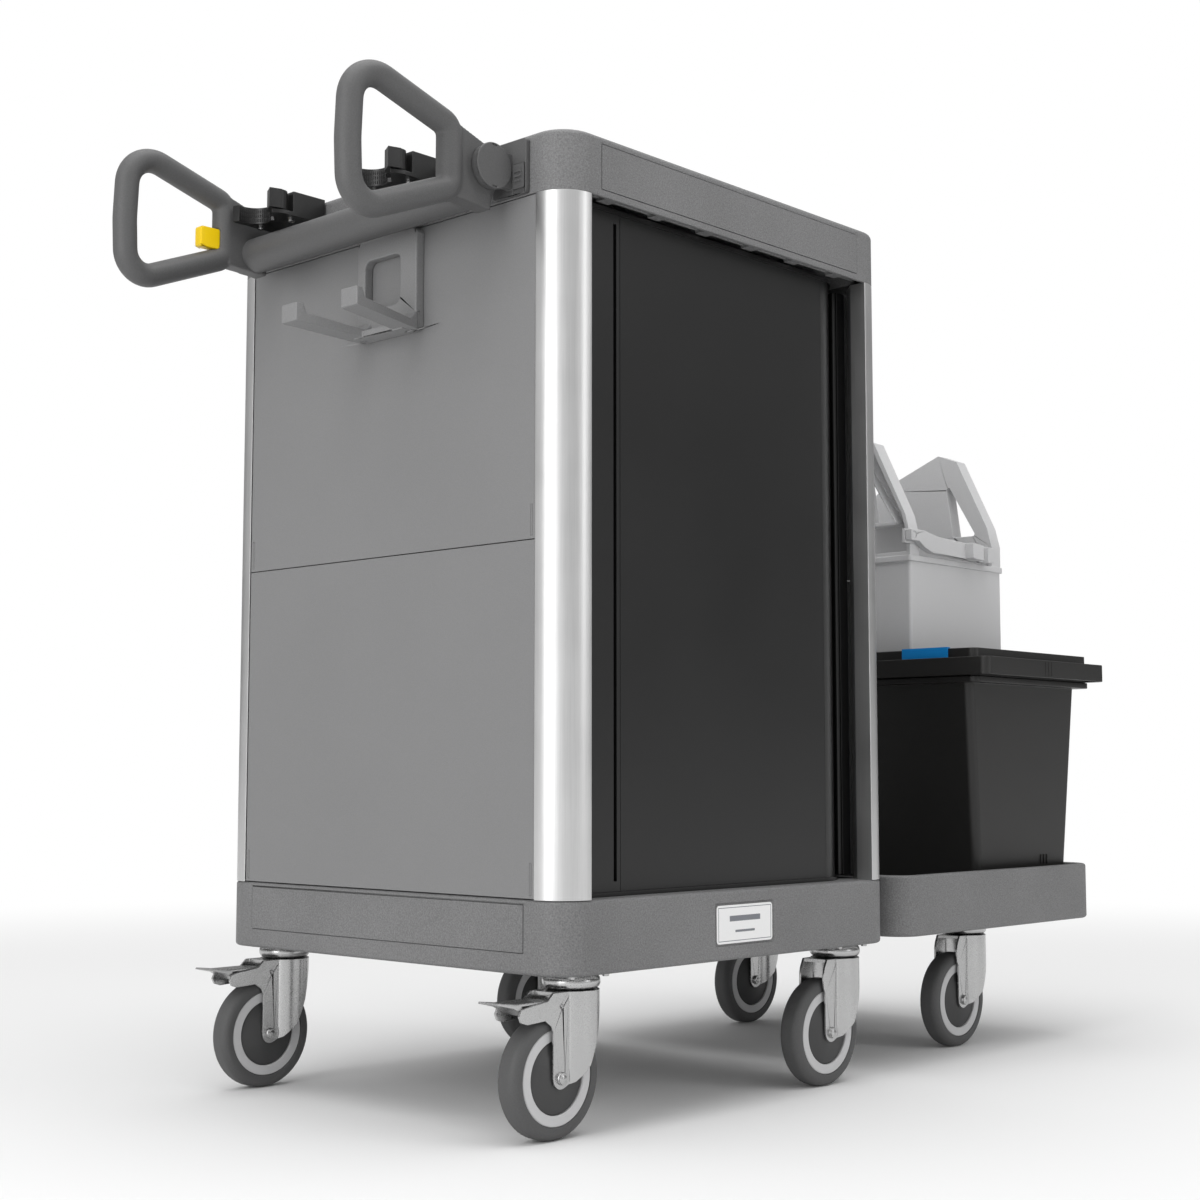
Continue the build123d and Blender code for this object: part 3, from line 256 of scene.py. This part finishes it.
# %% [markdown]
# ## Finishes
# Nearly all of the cart is moulded plastic, and what tells one moulding from another is its grain: the
# frames have a coarse speckled grain, the panels a very fine one, the handle a leathery one, and the
# shutter almost none. One function makes them all, with the size and depth of the grain as its inputs.
# The grain is a bump from fine noise, and it also moves the colour and the roughness a little, which is
# what stops a large flat face from looking like a flat colour.

# %% Moulded plastic
def moulded(name, shade, grain, depth, rough, speckle, tint=(1, 1, 1.01)):
    """Grained plastic: grain is the size of one grain, speckle how much of its colour varies."""
    material, graph, shader = surface(name)
    fine = graph.noise(1 / grain, detail=3.0)
    cloud = graph.noise(6.0, detail=3.0)
    low = tuple(shade * t * (1 - speckle) for t in tint)
    high = tuple(shade * t * (1 + speckle) for t in tint)
    mixed = fine * 0.75 + cloud * 0.25
    colour = graph.node("ShaderNodeValToRGB", {"stops": [(0.32, low), (0.68, high)]}, {0: mixed})
    bump = graph.node("ShaderNodeBump", {}, {"Strength": depth, "Distance": grain * 0.5, "Height": fine})
    graph.feed(shader, {"Base Color": colour, "Roughness": cloud * 0.12 + (rough - 0.06), "Normal": bump})
    return material


FRAME_GREY = moulded("frame_grey", 0.165, 0.0016, 0.55, 0.55, speckle=0.32)
PANEL_GREY = moulded("panel_grey", 0.20, 0.0011, 0.25, 0.50, speckle=0.07)
HANDLE_GREY = moulded("handle_grey", 0.088, 0.0012, 0.45, 0.52, speckle=0.14)
HOOK_GREY = moulded("hook_grey", 0.22, 0.0013, 0.35, 0.50, speckle=0.10)
SHUTTER_BLACK = moulded("shutter_black", 0.0065, 0.0009, 0.12, 0.36, speckle=0.15)
CLAMP_BLACK = moulded("clamp_black", 0.012, 0.0010, 0.25, 0.33, speckle=0.2)
BUCKET_BLACK = moulded("bucket_black", 0.0075, 0.0011, 0.30, 0.42, speckle=0.2, tint=(1.06, 1.0, 0.94))
PRESS_GREY = moulded("press_grey", 0.56, 0.0011, 0.25, 0.42, speckle=0.05)
YELLOW = moulded("lever_yellow", 1.0, 0.0010, 0.15, 0.36, speckle=0.03, tint=(0.98, 0.66, 0.0))
BLUE = moulded("tag_blue", 1.0, 0.0010, 0.15, 0.36, speckle=0.04, tint=(0.0, 0.23, 0.62))
TYRE_GREY = moulded("tyre_grey", 0.082, 0.0014, 0.25, 0.60, speckle=0.10)
RING_GREY = moulded("ring_grey", 0.55, 0.0009, 0.12, 0.45, speckle=0.03)
CAP_GREY = moulded("cap_grey", 0.045, 0.0009, 0.12, 0.48, speckle=0.08)
print("moulded plastics:", len([m for m in bpy.data.materials if "grey" in m.name or "black" in m.name]))

# %% [markdown]
# The posts are extruded aluminium, blasted and anodised. Extruding leaves faint lines along the metal, so
# the noise is stretched along Z. The caster forks are pressed steel with bright zinc: a little mottled,
# with soft broad reflections.

# %% Metals
def drawn_metal(name, shade, rough, stretch, lines):
    """Metal whose noise is stretched along the way it was drawn or rolled."""
    material, graph, shader = surface(name, Metallic=1.0)
    streak = graph.noise(900.0, detail=2.0, stretch=stretch)
    cloud = graph.noise(14.0, detail=3.0)
    colour = graph.node(
        "ShaderNodeValToRGB", {"stops": [(0.3, shade * 0.93), (0.7, shade * 1.05)]},
        {0: streak * 0.5 + cloud * 0.5},
    )
    bump = graph.node("ShaderNodeBump", {}, {"Strength": lines, "Distance": 0.0002, "Height": streak})
    rougher = streak * 0.10 + cloud * 0.10 + (rough - 0.10)
    graph.feed(shader, {"Base Color": colour, "Roughness": rougher, "Normal": bump})
    return material


ANODISED = drawn_metal("anodised_aluminium", 0.66, 0.36, (1, 1, 0.012), 0.10)
ZINC = drawn_metal("bright_zinc", 0.50, 0.27, (1, 1, 1), 0.06)
print("metals:", ANODISED.name, ZINC.name)

# %% [markdown]
# ## Softened copies
# A moulded or pressed edge is never sharp, and the fine bright line along it is what shows how big
# a piece is. The design's own meshes are loose triangles, so a copy is merged first, and then a Bevel
# modifier rounds every sharp edge by the same small radius. Smooth shading then works too, because
# neighbouring faces share their corners.

# %% Softened copies
def new_piece(name, mesh, material, body, *nodes):
    """Links a finished mesh as a piece that rides on a body and stands for some of its nodes."""
    piece = bpy.data.objects.new(name, mesh)
    scene.collection.objects.link(piece)
    if material is not None:
        mesh.materials.clear()
        mesh.materials.append(material)
    if nodes:
        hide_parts(*nodes)
    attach(piece, body)
    return piece


def merged(node):
    """A joined-up copy of a node's mesh, as a bmesh."""
    solid = bmesh.new()
    solid.from_mesh(frame["nodes"][node].data)
    bmesh.ops.remove_doubles(solid, verts=solid.verts, dist=2e-6)
    return solid


def baked(piece):
    """The piece's mesh with its modifiers applied."""
    graph = bpy.context.evaluated_depsgraph_get()
    mesh = bpy.data.meshes.new_from_object(piece.evaluated_get(graph))
    bpy.data.objects.remove(piece)
    return mesh


def drafted(name, solid):
    """A bmesh as an object, to put modifiers on."""
    mesh = bpy.data.meshes.new(name)
    solid.to_mesh(mesh)
    solid.free()
    draft = bpy.data.objects.new(name + "_draft", mesh)
    scene.collection.objects.link(draft)
    return draft


SHARP = math.radians(38)  # an edge is sharp when its faces turn by more than this


def rounded_mesh(name, solid, radius, segments=2):
    """Rounds a bmesh's sharp edges over and returns a smooth mesh."""
    draft = drafted(name, solid)
    if radius:
        bevel = draft.modifiers.new("edges", "BEVEL")
        bevel.width, bevel.segments = radius, segments
        bevel.limit_method, bevel.angle_limit = "ANGLE", SHARP
        bevel.use_clamp_overlap = False
        bevel.miter_outer = "MITER_ARC"
    level = draft.modifiers.new("level", "WEIGHTED_NORMAL")
    level.keep_sharp = True
    draft.data.shade_smooth()
    draft.data.set_sharp_from_angle(angle=math.pi if radius else SHARP)
    result = baked(draft)
    result.name = name
    return result


def softened(node, material, radius):
    """A node's shape with its edges rounded, in place of the node."""
    mesh = rounded_mesh(node + "_soft", merged(node), radius)
    return new_piece(node + "_soft", mesh, material, BODY_OF[node], node)


def starting(*words):
    """The nodes whose names start with one of the words."""
    return sorted(n for n in frame["nodes"] if n.startswith(words))


print("sharp means", round(math.degrees(SHARP)), "degrees or more")

# %% Moulded and pressed pieces
# the finish of each piece, and the radius of its edges in millimetres
MOULDINGS = {
    "base_tray": (FRAME_GREY, 1.2),
    "top_frame": (FRAME_GREY, 1.0),
    "platform_tray": (FRAME_GREY, 2.0),
    "base_inset_plates": (FRAME_GREY, 0.3),
    "top_inset_plates": (FRAME_GREY, 0.3),
    "top_tray": (FRAME_GREY, 1.2),
    "hook_bracket": (HOOK_GREY, 1.6),
    "handle_brackets": (HANDLE_GREY, 0.8),
    "pivot_caps": (HANDLE_GREY, 0),
    "latch_near": (HANDLE_GREY, 0.25),
    "latch_far": (HANDLE_GREY, 0.25),
    "handle_bar": (HANDLE_GREY, 0),
    "release_lever": (YELLOW, 1.2),
    "clamp_near": (CLAMP_BLACK, 0.6),
    "clamp_far": (CLAMP_BLACK, 0.6),
    "clamp_jaw_near": (CLAMP_BLACK, 0.5),
    "clamp_jaw_far": (CLAMP_BLACK, 0.5),
    "clamp_screws": (ZINC, 0.2),
    "bucket": (BUCKET_BLACK, 0.9),
    "bucket_tag": (BLUE, 0.4),
    "press_frame": (PRESS_GREY, 0.8),
    "press_lever": (PRESS_GREY, 1.0),
    "press_plate": (PRESS_GREY, 0.5),
    "shutter_lead_bar": (SHUTTER_BLACK, 0.5),
    "shutter_pillar": (SHUTTER_BLACK, 0.5),
    "shutter_return": (SHUTTER_BLACK, 0),
    "caster_heads": (ZINC, 0),
    "platform_rails": (ZINC, 0.6),
}
for name in starting("post"):
    MOULDINGS[name] = (ANODISED, 0.4)
for name in starting("panel", "shelf"):
    MOULDINGS[name] = (PANEL_GREY, 0.4)
for name in starting("fork", "brake_pedal"):
    MOULDINGS[name] = (ZINC, 0.5)

for name, (material, radius) in MOULDINGS.items():
    softened(name, material, radius * MM)
print(len(MOULDINGS), "softened pieces")

# %% [markdown]
# ## Grips
# A grip is one moulding: the tube, the web and the hub run into each other with radii far larger than an
# edge's. So its mesh is made again from small voxels and smoothed, which melts the joints together. That
# also closes the narrow slot that the yellow lever moves in, so the slot is cut afterwards.

# %% Grips
VOXEL, ROUNDS = 1.5 * MM, 10
SLOT_GAP = 0.4 * MM


def joint_range(name):
    """How far a sliding joint goes, in metres."""
    return next(j["range_m"][1] for j in frame["joints"] if j["name"] == name)


def slot_block():
    """A block that covers everywhere the release lever can be."""
    low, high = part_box("release_lever")
    low, high = Vector(low), Vector(high) + Vector((joint_range("lever_press"), 0, 0))
    block = bmesh.new()
    cube = bmesh.ops.create_cube(block, size=1.0)
    size = high - low + Vector((1, 1, 1)) * 2 * SLOT_GAP
    bmesh.ops.scale(block, vec=size, verts=cube["verts"])
    bmesh.ops.translate(block, vec=(low + high) / 2, verts=cube["verts"])
    return drafted("slot", block)


slot = slot_block()
for name in starting("grip"):
    draft = drafted(name, merged(name))
    remesh = draft.modifiers.new("voxels", "REMESH")
    remesh.mode, remesh.voxel_size, remesh.use_smooth_shade = "VOXEL", VOXEL, True
    smooth = draft.modifiers.new("melt", "SMOOTH")
    smooth.factor, smooth.iterations = 0.5, ROUNDS
    if name == "grip_far":
        cut = draft.modifiers.new("slot", "BOOLEAN")
        cut.operation, cut.solver, cut.object = "DIFFERENCE", "EXACT", slot
    grip = baked(draft)
    grip.shade_smooth()
    grip.set_sharp_from_angle(angle=math.radians(60))
    new_piece(name + "_soft", grip, HANDLE_GREY, BODY_OF[name], name)
    print(name, len(grip.polygons), "faces")
bpy.data.objects.remove(slot)

# %% [markdown]
# ## The shutter's curtain
# The real curtain slides along its track and turns the corner out of sight. Here the curtain is a smoothed
# copy of the design's own, given a mesh of its own. Nothing shortens its flat part as the lead bar comes
# across, though a black curtain has no pattern that would show it shrink.

# %% Curtain
curtain_low, curtain_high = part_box("shutter_curtain")
travel = joint_range("shutter_slide")
curtain = softened("shutter_curtain", SHUTTER_BLACK, 0)
1 - travel / (curtain_high.x - curtain_low.x)
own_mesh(curtain)
print("the curtain shortens by", round(travel, 3), "m")

# %% [markdown]
# ## Wheels
# A caster wheel is a turned shape: a soft tyre with rounded shoulders, moulded on a light ring, and a dark
# bearing cap with a step in it. So one half of its section is drawn as points, mirrored, and turned
# about the axle. Each point of the section says which material the stretch after it takes.

# %% Turned shapes
def turned(name, section, materials, centre, steps=72):
    """Turns a closed section of (radius, along, material) points about a line along Y."""
    mesh = bpy.data.meshes.new(name)
    shape = bmesh.new()
    rings = []
    for i in range(steps):
        turn = 2 * math.pi * i / steps
        rings.append([
            shape.verts.new(centre + Vector((r * math.cos(turn), along, r * math.sin(turn))))
            for r, along, _ in section
        ])
    for i in range(steps):
        here, there = rings[i], rings[(i + 1) % steps]
        for j in range(len(section)):
            k = (j + 1) % len(section)
            face = shape.faces.new((here[j], here[k], there[k], there[j]))
            face.material_index = section[j][2]
            face.smooth = True
    bmesh.ops.recalc_face_normals(shape, faces=shape.faces)
    shape.to_mesh(mesh)
    shape.free()
    for material in materials:
        mesh.materials.append(material)
    mesh.set_sharp_from_angle(angle=SHARP)
    return mesh


def arc_points(r, along, radius, start, end, count):
    """Points on an arc of a section, from one angle to another."""
    turns = [math.radians(start + (end - start) * i / (count - 1)) for i in range(count)]
    return [(r + radius * math.cos(t), along + radius * math.sin(t)) for t in turns]


print("a turned piece has 72 steps unless told otherwise")

# %% Wheels
TYRE, RING, CAP = 0, 1, 2
WHEEL_MATERIALS = [TYRE_GREY, RING_GREY, CAP_GREY]
TREAD_R, HALF_W, SHOULDER = 62.5, 13.5, 8.5  # millimetres, as are the radii below
RING_OUT, RING_IN, BORE_R = 48.3, 37.2, 5.2
CAP_STEPS = [(36.6, 10.4), (35.4, 11.4), (27.0, 12.2), (26.0, 13.0), (12.0, 13.6), (10.2, 14.6)]


def wheel_section():
    """Half the wheel's section, from the middle of the tread to the bore, then its mirror image."""
    half = [(TREAD_R, 4.0, TYRE)]
    shoulder = arc_points(TREAD_R - SHOULDER, HALF_W - SHOULDER, SHOULDER, 8, 84, 8)
    half += [(r, y, TYRE) for r, y in shoulder]
    half += [(RING_OUT + 1.0, HALF_W - 0.4, TYRE), (RING_OUT + 0.4, HALF_W - 1.6, TYRE)]
    half += [(RING_OUT, HALF_W - 1.6, RING), (RING_OUT - 0.8, HALF_W - 0.8, RING)]
    half += [(RING_IN + 0.8, HALF_W - 0.8, RING), (RING_IN, HALF_W - 1.6, RING)]
    half += [(RING_IN, HALF_W - 5.0, CAP), (RING_IN - 0.6, HALF_W - 5.0, CAP)]
    half += [(r, y, CAP) for r, y in CAP_STEPS + [(BORE_R, CAP_STEPS[-1][1])]]
    other = [(r, -y, m) for r, y, m in reversed(half)]
    mirrored = [(r, y, other[min(i + 1, len(other) - 1)][2]) for i, (r, y, _) in enumerate(other)]
    return [(r * MM, y * MM, m) for r, y, m in half + mirrored]


JOINT_AT = {j["name"]: Vector(j["pos_m"]) for j in frame["joints"] if "pos_m" in j}
CASTERS = "abcdef"
for key in CASTERS:
    mesh = turned("turned_wheel_" + key, wheel_section(), WHEEL_MATERIALS, JOINT_AT["roll_" + key])
    new_piece("turned_wheel_" + key, mesh, None, "wheel_" + key, "wheel_" + key)
print("wheels:", len(CASTERS), "of", len(mesh.polygons), "faces")

# %% [markdown]
# ## Fasteners
# Repeated fasteners are a rule, not a list of objects: one small bolt, and the places where it goes. The
# Geometry Nodes tree puts a copy of the bolt on every point, makes the copies real and gives them their
# material, and the result is kept as a plain mesh.

# %% Copies on points
def copies_tree(name):
    """Copies a part onto each point, turned about Z by the point's own angle."""
    tree = bpy.data.node_groups.new(name, "GeometryNodeTree")
    face = tree.interface
    face.new_socket("Geometry", in_out="INPUT", socket_type="NodeSocketGeometry")
    face.new_socket("Part", in_out="INPUT", socket_type="NodeSocketObject")
    face.new_socket("Finish", in_out="INPUT", socket_type="NodeSocketMaterial")
    face.new_socket("Geometry", in_out="OUTPUT", socket_type="NodeSocketGeometry")
    kinds = [
        "NodeGroupInput", "GeometryNodeObjectInfo", "GeometryNodeInstanceOnPoints",
        "GeometryNodeInputNamedAttribute", "FunctionNodeAxisAngleToRotation",
        "GeometryNodeRealizeInstances", "GeometryNodeSetMaterial", "NodeGroupOutput",
    ]
    given, part, copy, turn, rotation, real, finish, out = [tree.nodes.new(k) for k in kinds]
    turn.data_type = "FLOAT"
    turn.inputs["Name"].default_value = "turn"
    join = tree.links.new
    join(given.outputs["Geometry"], copy.inputs["Points"])
    join(given.outputs["Part"], part.inputs["Object"])
    join(part.outputs["Geometry"], copy.inputs["Instance"])
    join(turn.outputs["Attribute"], rotation.inputs["Angle"])
    join(rotation.outputs["Rotation"], copy.inputs["Rotation"])
    join(copy.outputs["Instances"], real.inputs["Geometry"])
    join(real.outputs["Geometry"], finish.inputs["Geometry"])
    join(given.outputs["Finish"], finish.inputs["Material"])
    join(finish.outputs["Geometry"], out.inputs["Geometry"])
    return tree


COPIES = copies_tree("copies_on_points")


def copies(name, part_mesh, places, material, body):
    """One piece with a copy of part_mesh at each (place, turn about Z)."""
    points = bpy.data.meshes.new(name)
    points.from_pydata([tuple(p) for p, _ in places], [], [])
    turns = points.attributes.new("turn", "FLOAT", "POINT")
    turns.data.foreach_set("value", [t for _, t in places])
    holder = bpy.data.objects.new(name + "_draft", points)
    part = bpy.data.objects.new(name + "_part", part_mesh)
    scene.collection.objects.link(holder)
    scene.collection.objects.link(part)
    modifier = holder.modifiers.new("copies", "NODES")
    modifier.node_group = COPIES
    inputs = {"Part": part, "Finish": material}
    for item in COPIES.interface.items_tree:
        if item.name in inputs:
            modifier[item.identifier] = inputs[item.name]
    holder.update_tag()
    bpy.context.view_layer.update()
    mesh = baked(holder)
    bpy.data.objects.remove(part)
    mesh.name = name
    return new_piece(name, mesh, material, body)


def bolt_mesh(across, height):
    """A hexagon head on a washer, facing down. across is half the distance between its flats."""
    shape = bmesh.new()
    head = bmesh.ops.create_cone(
        shape, cap_ends=True, segments=6, radius1=across * 0.95, radius2=across * 1.1, depth=height
    )
    bmesh.ops.translate(shape, verts=head["verts"], vec=(0, 0, -height / 2))
    washer_t = height * 0.25
    ring = bmesh.ops.create_cone(
        shape, cap_ends=True, segments=24, radius1=across * 1.45, radius2=across * 1.5, depth=washer_t
    )
    bmesh.ops.translate(shape, verts=ring["verts"], vec=(0, 0, -washer_t / 2))
    return rounded_mesh("bolt", shape, 0.25 * MM, segments=1)


def bar_mesh(across, along, height):
    """A small bar with softened edges, centred at the origin."""
    shape = bmesh.new()
    made = bmesh.ops.create_cube(shape, size=1.0)
    bmesh.ops.scale(shape, vec=(across, along, height), verts=made["verts"])
    return rounded_mesh("bar", shape, min(across, along) * 0.25, segments=1)


print("inputs of the tree:", [item.name for item in COPIES.interface.items_tree])

# %% [markdown]
# Four bolts hold each caster's plate to the base.

# %% Caster bolts
HEAD_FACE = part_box("caster_heads")[1].z - 3.0 * MM
BOLT_OFF = 25.0 * MM
bolt_places = []
for key in CASTERS:
    middle = Vector((*JOINT_AT["swivel_" + key].xy, HEAD_FACE))
    for n, (sx, sy) in enumerate([(-1, -1), (-1, 1), (1, -1), (1, 1)]):
        bolt_places.append((middle + Vector((sx * BOLT_OFF, sy * BOLT_OFF, 0)), 0.4 * n))
copies("caster_bolts", bolt_mesh(3.6 * MM, 3.2 * MM), bolt_places, ZINC, "cart")
print("caster bolts:", len(bolt_places))

# %% [markdown]
# The axle is a bolt through both legs of the fork, with a domed head on one side and a lock nut on the
# other. Both are turned about the axle, and the nut has six sides because it is turned in six steps.

# %% Axle ends
def capped(points):
    """A closed turned section from its outline, which starts and ends close to the line."""
    return [(r * MM, y * MM, 0) for r, y in points]


LEG_OUT = 18.3  # half the distance over the fork's legs, in millimetres
DOME = [(0.05, 0.0), (6.4, 0.0), (6.6, 0.8), (6.2, 2.2), (5.0, 3.6), (3.0, 4.6), (0.05, 5.0)]
NUT = [(0.05, 0.0), (6.9, 0.0), (7.0, 0.6), (7.0, 4.2), (6.4, 4.9), (4.0, 4.9), (3.8, 4.2), (0.05, 4.2)]
for key in CASTERS:
    centre = JOINT_AT["roll_" + key]
    head = turned("axle_head_" + key, capped([(r, -LEG_OUT - y) for r, y in DOME]), [ZINC], centre, 32)
    nut = turned("axle_nut_" + key, capped([(r, LEG_OUT + y) for r, y in NUT]), [ZINC], centre, 6)
    nut.shade_flat()
    new_piece("axle_head_" + key, head, None, "swivel_" + key)
    new_piece("axle_nut_" + key, nut, None, "swivel_" + key)
print("axle ends:", 2 * len(CASTERS))

# %% [markdown]
# ## Tool clamps' grip ribs
# The seat of a clamp is ribbed so that a smooth pole doesn't slip round in it. The ribs are short bars
# on an arc about the middle of the seat, in three rows.

# %% Grip ribs
SEAT_R = 20.0 * MM
SEAT_IN = Vector((-72.0, 43.0, 0)) * MM  # middle of the seat from the clamp's back and its near side
SEAT_FROM, SEAT_TO, RIB_COUNT = math.radians(-12), math.radians(98), 16

for name in ("near", "far"):
    low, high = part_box("clamp_" + name)
    middle = Vector((high.x, low.y, 0)) + SEAT_IN
    rows = [low.z + (4.0 + 5.2 * row) * MM for row in range(3)]
    places = []
    for z in rows:
        for i in range(RIB_COUNT):
            turn = SEAT_FROM + (SEAT_TO - SEAT_FROM) * i / (RIB_COUNT - 1)
            out = Vector((math.cos(turn), math.sin(turn), 0)) * SEAT_R
            places.append((middle + out + Vector((0, 0, z)), turn))
    copies("clamp_ribs_" + name, bar_mesh(1.4 * MM, 1.1 * MM, 4.0 * MM), places, CLAMP_BLACK, "cart")
print("grip ribs in each clamp:", len(places))

# %% [markdown]
# ## Bucket ribs
# Three short ribs stand on the bucket's side near the bottom and on its rim, as marks and stiffeners.

# %% Bucket ribs
low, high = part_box("bucket")
middle_x = (low.x + high.x) / 2
wall_y = low.y + 42.0 * MM
FOOT_IN = 8.0 * MM  # the side leans in by this much at the bottom
foot = Vector((middle_x + 60 * MM, wall_y + FOOT_IN - 1.4 * MM, low.z + 32 * MM))
foot_places = [(foot + Vector((i * 8 * MM, 0, 0)), 0) for i in (-1, 0, 1)]
copies("bucket_foot_ribs", bar_mesh(2.2 * MM, 2.4 * MM, 13 * MM), foot_places, BUCKET_BLACK, "bucket")
rim_places = [(Vector((middle_x + i * 8 * MM, low.y, high.z - 25 * MM)), 0) for i in (-1, 0, 1)]
copies("bucket_rim_ribs", bar_mesh(2.2 * MM, 1.2 * MM, 20 * MM), rim_places, BUCKET_BLACK, "bucket")
print("bucket ribs:", len(foot_places) + len(rim_places))

# %% [markdown]
# ## Name plate
# A small plate with rounded corners sits in the base's near side. It carries no words: a thin line round
# its edge and two plain bars stand in for whatever an owner would put there.

# %% Name plate print
plate_low, plate_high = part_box("name_plate")
plate_mid = (plate_low + plate_high) / 2
half_x, half_z = (plate_high.x - plate_low.x) / 2, (plate_high.z - plate_low.z) / 2
PRINT, graph, shader = surface("plate_print", Roughness=0.35, Coat_Weight=0.3)


def size_of(value):
    """A value without its sign."""
    return graph.node("ShaderNodeMath", {"operation": "ABSOLUTE"}, {0: value})


def at_most_one(value):
    return graph.node("ShaderNodeMath", {"operation": "MINIMUM"}, {0: value, 1: 1.0})


beside = size_of(graph.axis("X") - plate_mid.x)
above = graph.axis("Z") - plate_mid.z
off = size_of(above)
inside = (beside < half_x - 2.4 * MM) * (off < half_z - 2.4 * MM)
border = at_most_one((beside > half_x - 3.2 * MM) + (off > half_z - 3.2 * MM)) * inside
bar = (beside < half_x * 0.55) * (above > 3.0 * MM) * (above < 9.0 * MM)
small = (beside < half_x * 0.35) * (above > -9.0 * MM) * (above < -6.5 * MM)
ink = at_most_one(border + bar + small)
film = graph.noise(400.0) * 0.04 + 0.80
paper_shade = graph.node("ShaderNodeCombineColor", {}, {0: film, 1: film, 2: film})
graph.feed(shader, {"Base Color": graph.mix(ink, paper_shade, (0.16, 0.17, 0.19, 1))})
print("plate of", round(2 * half_x / MM), "by", round(2 * half_z / MM), "mm")

# %% Name plate
CORNER = 4.0 * MM
outline = bmesh.new()
ring = []
for cx, cz, start in ((1, 1, 0), (-1, 1, 90), (-1, -1, 180), (1, -1, 270)):
    for i in range(7):
        turn = math.radians(start + 15 * i)
        x = plate_mid.x + cx * (half_x - CORNER) + CORNER * math.cos(turn)
        z = plate_mid.z + cz * (half_z - CORNER) + CORNER * math.sin(turn)
        ring.append(outline.verts.new((x, plate_high.y, z)))
front = bmesh.ops.extrude_face_region(outline, geom=[outline.faces.new(ring)])
moved = [v for v in front["geom"] if isinstance(v, bmesh.types.BMVert)]
bmesh.ops.translate(outline, verts=moved, vec=(0, plate_low.y - plate_high.y, 0))
bmesh.ops.recalc_face_normals(outline, faces=outline.faces)
plate = rounded_mesh("name_plate_print", outline, 0.3 * MM)
new_piece("name_plate_print", plate, PRINT, "cart", "name_plate")
print("plate corners of", round(CORNER / MM), "mm")

# %% [markdown]
# ## Pieces as designed
# The shutter's tracks and the liner behind it are hidden or nearly so, and keep the design's own shape.

# %% Pieces as designed
PLAIN = {"shutter_tracks": SHUTTER_BLACK, "shutter_liner": PANEL_GREY}
for name, material in PLAIN.items():
    mesh = frame["nodes"][name].data
    mesh.materials.clear()
    mesh.materials.append(material)
print("as designed:", ", ".join(PLAIN))
